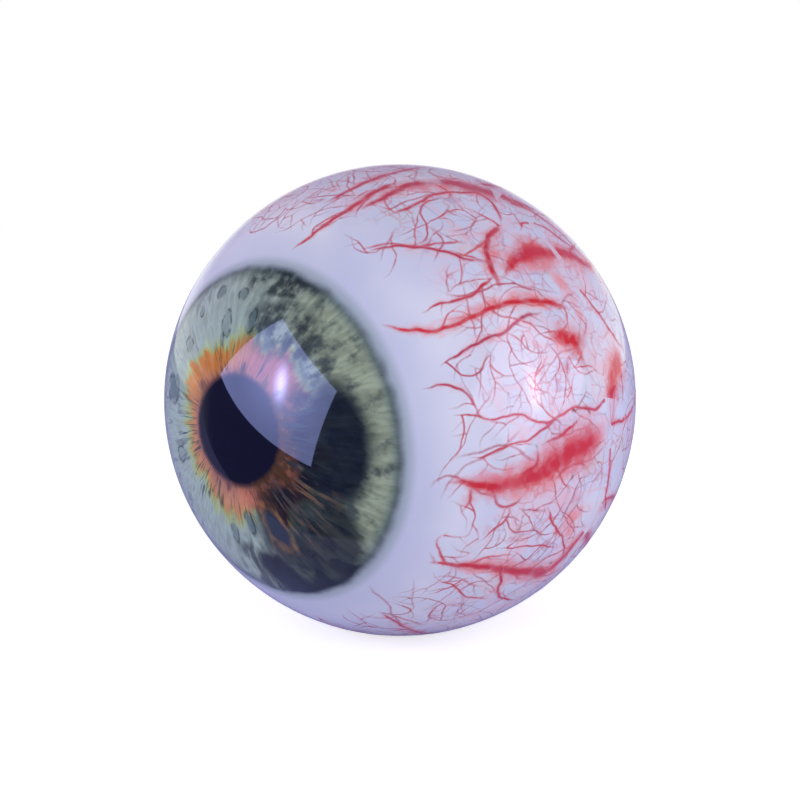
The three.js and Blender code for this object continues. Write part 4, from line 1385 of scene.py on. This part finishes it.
# For each order of branch: its greatest length in millimetres, the height of its ink and how strong it is
BRANCHES = {3: (28, BRANCH_HEIGHT, 1.0), 2: (18, TWIG_HEIGHT, 0.85), 1: (10, TWIG_HEIGHT, 0.65)}
THINNEST_BRANCH = 0.5 * MILLIMETRE
WIDEST_BRANCH = 1.2 * MILLIMETRE
TWIG_END = 0.42 * MILLIMETRE
TWIG_UNEVEN = 0.008
TRUNK_UNEVEN = 0.006
# How far lines wander to the sides, and the rate and share of each of their bends
TWIG_BENDS = 0.42 * MILLIMETRE
TRUNK_BENDS = 0.45 * MILLIMETRE
LOOSE_BENDS = 0.4 * MILLIMETRE
BEND_WAVES = [(0.31, 0.55), (0.83, 0.35), (1.7, 0.14)]
FLUSH_MARGIN = 2.4 * MILLIMETRE
SEAM_BLANK = 0.5
FOOT_CLEAR_Z = 1.5 * MILLIMETRE
FRONT_EDGE_POLAR = math.degrees(rim_polar(BALL_RADIUS, front_rim)) - SEAM_BLANK
REAR_EDGE_POLAR = math.degrees(rim_polar(BALL_RADIUS, rear_rim)) + SEAM_BLANK

# Main vessels seen from the front: width at the start and at the end in millimetres, how dark the red
# is from 0 to 1, and places as azimuth about the gaze and angle from it, in degrees
FRONT_TRUNKS = {
    "upper_trunk": (1.0, 2.5, 0.1, [(45, 43), (40, 46), (37, 49), (34, 53), (34, 60), (34, 66),
                                    (34, 73), (32, 80), (29, 88)]),
    "upper_stem": (2.4, 2.2, 0.3, [(53, 84), (50, 76), (46, 73), (41, 72), (37, 71)]),
    "upper_arm": (1.2, 0.6, 0.4, [(41, 72), (40, 68), (39, 63), (40, 56), (40, 52)]),
    "upper_dark_arm": (0.7, 1.2, 0.6, [(64, 52), (60, 58), (53, 64), (48, 68), (45, 72)]),
    "upper_wedge": (2.0, 9.5, 0.15, [(40, 74), (43, 79), (44, 84), (44, 91)]),
    "wedge_tail": (9.5, 5.0, 0.15, [(44, 81), (44, 87), (43, 93)]),
    "upper_link": (1.2, 1.2, 0.4, [(53, 84), (58, 87), (64, 88), (66, 84), (68, 77), (68, 70), (69, 63)]),
    "top_trunk": (0.8, 3.0, 0.4, [(86, 45), (83, 50), (80, 58), (79, 67), (78, 76)]),
    "top_band": (1.4, 5.0, 0.4, [(77, 61), (75, 70), (75, 77), (72, 82)]),
    "top_smear": (6.5, 8.0, 0.4, [(73, 81), (70, 86), (67, 89), (64, 93)]),
    "top_far": (1.4, 2.6, 0.5, [(88, 60), (85, 70), (83, 81), (82, 90)]),
    "side_loop": (0.9, 0.9, 0.4, [(50, 87), (52, 90), (52, 93)]),
    "dark_tortuous": (0.7, 1.3, 0.75, [(25, 51), (26, 55), (28, 62), (28, 68), (30, 73), (30, 79)]),
    "bright_patch": (5.5, 6.5, 0.0, [(25, 78), (23, 82), (22, 85.5), (21, 90)]),
    "patch_foot": (5.5, 1.2, 0.1, [(22, 86), (20, 85.5), (18, 86), (16, 87)]),
    "middle_arc": (0.6, 0.9, 0.7, [(20, 46), (20, 50), (18, 54), (14, 56), (10, 57)]),
    "middle_net": (0.5, 0.9, 0.5, [(11, 51), (11, 54), (9, 60), (9, 65), (7, 69), (6, 73), (8, 78)]),
    "middle_line": (0.5, 1.1, 0.45, [(0, 54), (0, 58), (2, 63), (3, 68), (5, 73), (8, 81), (6, 88), (8, 93)]),
    "lower_trunk": (1.3, 13.0, 0.1, [(-7, 50), (-7, 55), (-8, 60), (-7, 67), (-5, 72),
                                     (-3, 77), (-1, 84), (1, 90.5)]),
    "lower_stem": (1.4, 1.8, 0.35, [(1, 70), (-3, 70), (-6, 67), (-10, 69)]),
    "lower_stem_arm": (1.4, 0.9, 0.4, [(1, 71), (2, 76), (4, 80), (6, 83)]),
    "star_leg": (1.8, 0.9, 0.25, [(-7, 55), (-12, 55), (-16, 54)]),
    "net_leg": (1.0, 1.0, 0.45, [(-8, 59), (-13, 62), (-13, 65), (-10, 68)]),
    "net_tail": (0.9, 0.5, 0.5, [(-13, 65), (-16, 65), (-20, 62), (-24, 60)]),
    "bottom_trunk": (0.9, 6.5, 0.25, [(-33, 51), (-32, 56), (-31, 62), (-32, 70), (-33, 77), (-36, 87)]),
    "bottom_turn": (5.0, 3.0, 0.25, [(-34, 80), (-35, 85), (-32, 89), (-24, 93)]),
    "bottom_leg": (1.3, 1.0, 0.45, [(-29, 68), (-35, 71), (-41, 74), (-46, 84)]),
    "side_net": (0.8, 1.0, 0.5, [(-14, 75), (-19, 78), (-24, 84), (-33, 90)]),
    "lower_thread": (0.5, 0.7, 0.5, [(-25, 65), (-25, 70), (-25, 78), (-27, 84)]),
    "bottom_thread": (0.6, 0.9, 0.5, [(-39, 55), (-39, 60), (-42, 65), (-43, 73)]),
    "under_band": (1.0, 2.6, 0.4, [(-60, 52), (-62, 60), (-66, 70), (-68, 82), (-70, 93)]),
    "under_far": (0.9, 2.2, 0.4, [(-85, 50), (-84, 58), (-80, 66), (-82, 78), (-84, 92)]),
}
REAR_TRUNKS = {
    "wedge_on": (5.0, 2.4, 0.25, [(43, 95), (42, 100), (40, 108), (42, 118)]),
    "smear_on": (7.0, 3.0, 0.4, [(63, 95), (60, 98), (57, 104)]),
    "loop_on": (0.9, 1.6, 0.4, [(52, 95), (50, 99), (46, 103), (43, 108)]),
    "side_wedge": (6.0, 10.0, 0.1, [(7.5, 95), (11, 97), (14, 100), (16, 106)]),
    "side_thread": (1.0, 1.2, 0.4, [(33, 95), (28, 98), (22, 102), (17, 108)]),
    "trunk_on": (1.2, 0.8, 0.3, [(2, 95), (1, 103), (3, 112), (5, 124), (3, 138)]),
    "tee": (1.1, 1.1, 0.45, [(-4, 95), (-9, 96), (-12, 97), (-18, 99), (-24, 104)]),
    "low_wedge": (1.4, 3.4, 0.2, [(-18, 96), (-18, 101), (-21, 109), (-20, 120)]),
    "bottom_on": (3.2, 1.4, 0.35, [(-26, 95), (-30, 100), (-36, 106), (-40, 116)]),
}


# Flushed places round them: width at the start and at the end in millimetres, strength, and places as above
FRONT_FLUSHES = {
    "lower_glow": (6, 13, 0.8, [(-7, 49), (-6, 58), (-6, 66), (-3, 76), (0, 84), (1, 93)]),
    "star_glow": (6, 8, 0.5, [(-11, 49), (-12, 56), (-14, 62)]),
    "upper_glow": (4, 8, 0.6, [(36, 49), (35, 58), (35, 68), (34, 78), (31, 88)]),
    "stem_glow": (6, 9, 0.6, [(52, 84), (47, 76), (43, 75), (40, 84), (41, 93)]),
    "top_glow": (7, 14, 0.75, [(79, 60), (76, 70), (71, 80), (65, 90)]),
    "side_glow": (8, 12, 0.55, [(43, 86), (36, 89), (28, 91), (22, 92)]),
    "net_glow": (10, 14, 0.7, [(-9, 80), (-15, 83), (-23, 86), (-31, 91)]),
    "bottom_glow": (4, 9, 0.6, [(-32, 54), (-31, 64), (-33, 74), (-36, 84), (-37, 93)]),
    "far_glow": (5, 10, 0.5, [(88, 62), (84, 74), (83, 88)]),
    "under_glow": (5, 10, 0.5, [(-62, 56), (-67, 70), (-70, 90)]),
}
REAR_FLUSHES = {
    "wedge_glow": (12, 8, 0.6, [(42, 95), (41, 104), (42, 116)]),
    "side_glow": (10, 14, 0.5, [(12, 95), (15, 101), (17, 110)]),
    "trunk_glow": (10, 8, 0.1, [(1, 95), (3, 106), (7, 120)]),
    "low_glow": (9, 8, 0.5, [(-20, 95), (-20, 104), (-22, 116)]),
    "top_glow": (9, 12, 0.5, [(68, 95), (74, 104), (80, 114)]),
}


def shaken(line, size, dice):
    """The same line with small wandering bends"""
    phases = [dice.uniform(0, math.tau) for _ in BEND_WAVES]
    result = []
    for index, direction in enumerate(line):
        sway = sum(math.sin(index * rate + phase) * share
                   for (rate, share), phase in zip(BEND_WAVES, phases))
        result.append((direction + sideways(line, index) * sway * size / BALL_RADIUS).normalized())
    return result


def cells_under(line, widths):
    """For each step of a strip of ink, the small cells of space that it covers"""
    covered = []
    for index, direction in enumerate(line):
        side = sideways(line, index) * (widths[index] * EDGE_SPREAD / 2 / BALL_RADIUS)
        count = max(1, math.ceil(side.length * CELLS_PER_RADIUS))
        spots = [direction + side * (step / count) for step in range(-count, count + 1)]
        covered.append({tuple(round(part * CELLS_PER_RADIUS) for part in spot) for spot in spots})
    return covered


def uncrowded(crowd, line, width):
    """The part of a line before the place where it would lie on too many others"""
    for index, cells in enumerate(cells_under(line, [width] * len(line))):
        limit = CROWD_LIMIT + 1 if index < CROWDED_ROOT else CROWD_LIMIT
        if any(crowd.get(cell, 0) >= limit for cell in cells):
            return line[:index]
    return line


def ink_line(shape, layers, crowd, line, widths, height, dark, strengths):
    """Ink on the outside of the ball, whose strip is wide enough for the soft edge"""
    for cell in set().union(*cells_under(line, widths)):
        crowd[cell] = crowd.get(cell, 0) + 1
    wide = [width * EDGE_SPREAD for width in widths]
    lay_ink(shape, layers, line, wide, BALL_RADIUS + height, BALL_RADIUS - ROOT_DEPTH, dark, strengths)


def grow(shape, layers, crowd, line, width, dark, depth, dice, keep):
    """Branches and twigs that leave a line at a slant and end in fine lines"""
    longest, height, ink = BRANCHES[depth]
    index = dice.randint(2, BRANCH_SPACING)
    while index < len(line) - 2:
        here = line[index]
        onward = (line[index + 1] - here).normalized()
        side = 1 if dice.random() < 0.5 else -1
        heading = Quaternion(here, side * math.radians(dice.uniform(25, 80))) @ onward
        if dice.random() < 0.3:
            heading = -heading
        reach = dice.uniform(0.4, 1.0) * longest * MILLIMETRE
        thin = max(THINNEST_BRANCH, min(width * dice.uniform(0.3, 0.65), WIDEST_BRANCH))
        child = shaken(wander(here, heading, reach, 0.075, dice, keep), TWIG_BENDS, dice)
        child = uncrowded(crowd, child, thin)
        if len(child) > 5:
            shade = min(0.75, max(0.0, dark + dice.uniform(-0.20, 0.25)))
            widths = tapered(len(child), thin, TWIG_END)
            top = height - dice.random() * TWIG_UNEVEN * MILLIMETRE
            strengths = faded(len(child), 0, 7, dice.uniform(0.6, 1.0) * ink)
            ink_line(shape, layers, crowd, child, widths, top, shade, strengths)
            if depth > 1:
                grow(shape, layers, crowd, child, thin, shade, depth - 1, dice, keep)
        index += dice.randint(BRANCH_SPACING // 2 + 1, BRANCH_SPACING * 2)


def off_foot(direction):
    """True where the print is clear of the flat that the ball stands on"""
    return BALL_CENTRE.z + direction.z * BALL_RADIUS > FOOT_CLEAR_Z


def may_print_front(direction):
    """True where the front half carries vessels"""
    return off_foot(direction) and VESSEL_FREE_POLAR < polar_of(direction) < FRONT_EDGE_POLAR


def may_print_rear(direction):
    """True where the rear half carries vessels, clear of the nerve's sheath"""
    aside = math.hypot(direction.x * BALL_RADIUS + NERVE_OFFSET, direction.z * BALL_RADIUS)
    beside_sheath = direction.y < 0 or aside > SHEATH_OUTER + SHEATH_FLARE
    return off_foot(direction) and beside_sheath and polar_of(direction) > REAR_EDGE_POLAR


def free_ends(line, first, last, power=1.0):
    """Ink that fades at the ends of a line, but not where it meets the parting"""
    seam = (FRONT_EDGE_POLAR + REAR_EDGE_POLAR) / 2
    at_first, at_last = (abs(polar_of(line[end]) - seam) < 2 for end in (0, -1))
    return faded(len(line), 0 if at_first else first, 0 if at_last else last, power)


def print_trunk(shape, layers, crowd, flushes, line, first, last, dark, dice, keep):
    """One main vessel with the pink flush round it; returns what branches grow from"""
    line = [direction for direction in shaken(line, TRUNK_BENDS, dice) if keep(direction)]
    if len(line) < 4:
        return []
    ink = free_ends(line, 5, 6)
    widths = [width * MILLIMETRE * (0.4 + 0.6 * share)
              for width, share in zip(tapered(len(line), first, last), ink)]
    top = TRUNK_HEIGHT - dice.random() * TRUNK_UNEVEN * MILLIMETRE
    ink_line(shape, layers, crowd, line, widths, top, dark, ink)
    mean = sum(widths) / len(widths)
    strength = min(0.75, 0.3 + mean / MILLIMETRE * 0.12)
    flushes.append((line, [width * 1.9 + FLUSH_MARGIN for width in widths], strength))
    return [(line, mean, dark)]


def ray_kinds(tree, *kinds):
    """For each kind of ray, whether it is the one that meets the surface"""
    path = put(tree, "LightPath")
    return [Value(path, f"Is {kind} Ray") for kind in kinds]


def make_vessel_ink():
    """Red ink under the clear coat, with soft edges and a paler bleed round it"""
    material, tree, shader = new_material("vessel_ink")
    direction = from_group(tree, gaze_group)[0]
    off_centre, dark, strength = ink_marks(tree)
    frayed = off_centre + direction.noise(60.0, 4.0, 0.65) * 0.24
    core = frayed.step(0.18, 0.80, 1.0, 0.0)
    bleed = frayed.step(0.40, 1.05, 0.40, 0.0)
    beads = direction.noise(26.0, 3.0).step(0.35, 0.60, 0.80, 1.1)
    edge = core.larger(bleed).math("MULTIPLY", beads, use_clamp=True)
    line = dark.between((0.68, 0.030, 0.045, 1), (0.40, 0.040, 0.105, 1))
    around = dark.between((0.84, 0.20, 0.18, 1), (0.72, 0.22, 0.32, 1))
    seal_with_coat(shader, core.between(around, line))
    shadow, diffuse, glossy = ray_kinds(tree, "Shadow", "Diffuse", "Glossy")
    under = shadow.larger(diffuse.larger(glossy))
    feed(shader, {"Alpha": edge * strength * (1.0 - under)})
    return material


vessel_ink = make_vessel_ink()


def store_flush(shell, flushes):
    """Stores on a shell's mesh how flushed its print is, from 0 to 1, near each line"""
    marks = [(BALL_CENTRE + direction * BALL_RADIUS, width / 2, strength)
             for line, widths, full in flushes
             for direction, width, strength in zip(line, widths, free_ends(line, 14, 14, full))]
    near = kdtree.KDTree(len(marks))
    for index, (place, _, _) in enumerate(marks):
        near.insert(place, index)
    near.balance()
    widest = max(reach for _, reach, _ in marks)
    flush = shell.data.attributes.new("flush", "FLOAT", "POINT")
    for corner, value in zip(shell.data.vertices, flush.data):
        if (corner.co - BALL_CENTRE).length > BALL_RADIUS * 0.99:
            found = near.find_range(corner.co, widest)
            value.value = max((marks[index][2] * max(0.0, 1 - (gap / marks[index][1]) ** 2)
                               for _, index, gap in found), default=0.0)


def print_half(name, body, shell, trunks, flush_routes, keep, seed, wild, loose):
    """All the vessels of one half, and the flush of its white. Wild ones are the main vessels of the side
    that the photo doesn't show, which run from the parting; loose ones are fine and start anywhere"""
    dice = random.Random(seed)
    shape = bmesh.new()
    layers = strip_layers(shape)
    crowd, grown = {}, []
    flushes = [(smooth_line(places), tapered(200, first * MILLIMETRE, last * MILLIMETRE), strength)
               for first, last, strength, places in flush_routes.values()]
    for first, last, dark, places in trunks.values():
        line = smooth_line(places)
        grown += print_trunk(shape, layers, crowd, flushes, line, first, last, dark, dice, keep)
    routes = [(azimuth + dice.uniform(-4, 4), dice.uniform(*wild["widths"]), dice.uniform(*wild["lengths"]))
              for azimuth in wild["azimuths"]]
    for azimuth, first, length in routes:
        line = wander(on_ball(azimuth, wild["polar"]), Vector(wild["heading"]), length * MILLIMETRE, 0.045,
                      dice, keep)
        shade = dice.uniform(0.1, 0.6)
        grown += print_trunk(shape, layers, crowd, flushes, line, first, 0.6, shade, dice, keep)
    starts = [(dice.uniform(0, 360), dice.uniform(*loose["polars"])) for _ in range(loose["count"])]
    for azimuth, polar in starts:
        start = on_ball(azimuth, polar)
        heading = Quaternion(start, dice.uniform(0, math.tau)) @ start.orthogonal().normalized()
        line = wander(start, heading, dice.uniform(12, 34) * MILLIMETRE, 0.05, dice, keep)
        line = shaken(line, LOOSE_BENDS, dice)
        shade = dice.uniform(0.35, 0.85)
        width = dice.uniform(0.5, 0.95) * MILLIMETRE
        line = uncrowded(crowd, line, width)
        if len(line) > 8 and keep(start):
            strengths = faded(len(line), 5, 5, dice.uniform(0.5, 0.95))
            widths = tapered(len(line), width, width * 0.7)
            ink_line(shape, layers, crowd, line, widths, TWIG_HEIGHT, shade, strengths)
            grown.append((line, width, shade))
    for line, width, shade in grown:
        grow(shape, layers, crowd, line, width, shade, 3, dice,
             lambda direction: keep(direction) and polar_of(direction) > TWIG_FREE_POLAR)
    bmesh.ops.recalc_face_normals(shape, faces=shape.faces)
    store_flush(shell, flushes)
    finished(name, shape, [vessel_ink], body, [], 60)


print_half("front_vessels", "front_half", front_shell, FRONT_TRUNKS, FRONT_FLUSHES, may_print_front, 11,
           {"azimuths": range(102, 262, 14), "polar": FRONT_EDGE_POLAR - 0.3, "heading": (0, -1, 0),
            "widths": (1.2, 3.6), "lengths": (22, 50)}, {"count": 240, "polars": (60, 92)})
print_half("rear_vessels", "rear_half", rear_shell, REAR_TRUNKS, REAR_FLUSHES, may_print_rear, 23,
           {"azimuths": range(58, 322, 12), "polar": REAR_EDGE_POLAR + 0.3, "heading": (0, 1, 0),
            "widths": (1.2, 4.0), "lengths": (35, 90)}, {"count": 150, "polars": (95, 165)})


# The place: a white table, a white sweep behind it, two diamond softboxes and the camera.
# The ball mirrors the table only as far as its front edge, which lies in front of the ball.

VIEW_AZIMUTH = math.radians(39.57)
VIEW_ELEVATION = math.radians(12.36)
VIEW_DISTANCE = 6 * FULL_RADIUS
TOWARD_CAMERA = Vector((math.sin(VIEW_AZIMUTH) * math.cos(VIEW_ELEVATION),
                        -math.cos(VIEW_AZIMUTH) * math.cos(VIEW_ELEVATION), math.sin(VIEW_ELEVATION)))
FLOOR_RADIUS = 1.4
TABLE_EDGE_AZIMUTH = math.radians(20)
TABLE_EDGE_DISTANCE = 0.10
TABLE_GLOW = 0.62
LAMP_DISTANCE = 1.0
SOFTBOX_SIDE = 0.90
SOFTBOX_POWER = 7.4
SOFTBOX_MIDDLE = 0.13
SOFTBOX_STREAK = 0.34
STREAK_POWER = 4.0
WHITE = (1, 1, 1, 1)
LAMP_COLOUR = (0.90, 0.91, 1.0)
ROOM_COLOUR = (0.05, 0.06, 0.14, 1)
SWEEP_COLOUR = (0.92, 0.92, 1.0, 1)
CEILING_COLOUR = (0.40, 0.30, 0.50, 1)
TABLE_COLOUR = (0.80, 0.80, 0.82, 1)
TABLE_MIRRORED = (0.42, 0.42, 0.80, 1)
DIFFUSE_COLOUR = (0.47, 0.47, 0.50, 1)


def make_floor():
    """A white table that keeps the shadow"""
    shape = bmesh.new()
    bmesh.ops.create_circle(shape, cap_ends=True, segments=96, radius=FLOOR_RADIUS)
    mesh = as_mesh("table", shape)
    material, tree, shader = new_material("table_white")
    glossy, camera, transmitted = ray_kinds(tree, "Glossy", "Camera", "Transmission")
    front = Vector((math.sin(TABLE_EDGE_AZIMUTH), -math.cos(TABLE_EDGE_AZIMUTH), 0))
    ahead = object_place(tree).vector("DOT_PRODUCT", front)
    beyond = ahead.math("GREATER_THAN", TABLE_EDGE_DISTANCE) * glossy
    feed(shader, {"Base Color": glossy.between(TABLE_COLOUR, TABLE_MIRRORED), "Roughness": 0.9,
                  "Specular IOR Level": 0.0, "Emission Color": WHITE,
                  "Emission Strength": camera.larger(transmitted) * TABLE_GLOW, "Alpha": 1.0 - beyond})
    mesh.materials.append(material)
    add_object("table", mesh)


def make_world():
    """A white sweep behind the ball and a dim room in front of it; the camera sees white all round"""
    world = bpy.data.worlds.new("studio")
    world.use_nodes = True
    tree = world.node_tree
    glossy, camera, transmitted = ray_kinds(tree, "Glossy", "Camera", "Transmission")
    outward = Value(put(tree, "TexCoord"), "Generated")
    facing = outward.vector("DOT_PRODUCT", (TOWARD_CAMERA.x, TOWARD_CAMERA.y, 0.0))
    height = outward.parts()[2]
    backdrop = height.step(0.0, 0.22).between(SWEEP_COLOUR, CEILING_COLOUR)
    sweep = facing.step(-0.12, -0.55).between(ROOM_COLOUR, backdrop)
    plain = glossy.between(DIFFUSE_COLOUR, sweep)
    feed(tree.nodes["Background"], {"Color": camera.larger(transmitted).between(plain, WHITE)})
    bpy.context.scene.world = world


def light_unevenly(lamp, streak_turn):
    """Makes a softbox bright in its middle and along a streak across it"""
    lamp.use_nodes = True
    tree = lamp.node_tree
    offset = Value(put(tree, "NewGeometry"), "Parametric").vector("SUBTRACT", (0.5, 0.5, 0.0))
    glow = offset.vector("LENGTH").step(0.55, 0.05, 0.75, 1.35)
    turn = math.radians(streak_turn)
    along = Vector((math.cos(turn), math.sin(turn), 0))
    aside = Vector((-math.sin(turn), math.cos(turn), 0))
    reach = combined(X=offset.vector("DOT_PRODUCT", along / SOFTBOX_STREAK),
                     Y=offset.vector("DOT_PRODUCT", aside / SOFTBOX_MIDDLE))
    core = reach.vector("LENGTH").step(1.0, 0.0)
    feed(tree.nodes["Emission"], {"Strength": glow + core * core * STREAK_POWER})


def hang_lamp(name, side_angle, lift, roll, distance, size, colour, power, tilt=0.0, streak_turn=None):
    """One lamp of a softbox: the light it sheds, or with a streak the sheen it leaves in the clear coat"""
    mirrored = streak_turn is not None
    lamp = bpy.data.lights.new(name, "AREA")
    lamp.shape = "RECTANGLE"
    lamp.size, lamp.size_y = size
    lamp.energy = power
    lamp.color = colour
    if mirrored:
        light_unevenly(lamp, streak_turn)
    right = Vector((math.cos(VIEW_AZIMUTH), math.sin(VIEW_AZIMUTH), 0))
    up = right.cross(-TOWARD_CAMERA).normalized()
    side, rise = math.radians(side_angle), math.radians(lift)
    level = TOWARD_CAMERA * math.cos(side) + right * math.sin(side)
    direction = level * math.cos(rise) + up * math.sin(rise)
    holder = add_object(name, lamp)
    holder.matrix_world = (Matrix.Translation(BALL_CENTRE + direction * distance)
                           @ direction.to_track_quat("Z", "Y").to_matrix().to_4x4()
                           @ Matrix.Rotation(math.radians(roll), 4, "Z")
                           @ Matrix.Rotation(math.radians(tilt), 4, "Y"))
    holder.visible_diffuse = not mirrored
    holder.visible_glossy = mirrored


def place_camera():
    """The photograph's view of the ball"""
    lens = bpy.data.cameras.new("camera")
    lens.sensor_width = 36
    lens.lens = 62.9
    holder = add_object("camera", lens)
    holder.location = BALL_CENTRE + TOWARD_CAMERA * VIEW_DISTANCE
    holder.rotation_mode = "QUATERNION"
    holder.rotation_quaternion = TOWARD_CAMERA.to_track_quat("Z", "Y")
    bpy.context.scene.camera = holder


make_floor()
make_world()
square = (SOFTBOX_SIDE, SOFTBOX_SIDE)
hang_lamp("left_softbox_light", -60, -2, 53, LAMP_DISTANCE, square, LAMP_COLOUR, SOFTBOX_POWER)
hang_lamp("left_softbox_sheen", -54, 6.6, 61, 0.75, (0.562, 0.72), (0.40, 0.47, 1.0), 9.3, -28.7, 24)
hang_lamp("right_softbox_light", 62, -2, 43, LAMP_DISTANCE, square, LAMP_COLOUR, SOFTBOX_POWER)
hang_lamp("right_softbox_sheen", 62, 4, 43, LAMP_DISTANCE - 0.01, square, (1.0, 0.72, 0.98), 6, 0, 45)
place_camera()
bpy.context.scene.view_settings.view_transform = "Standard"
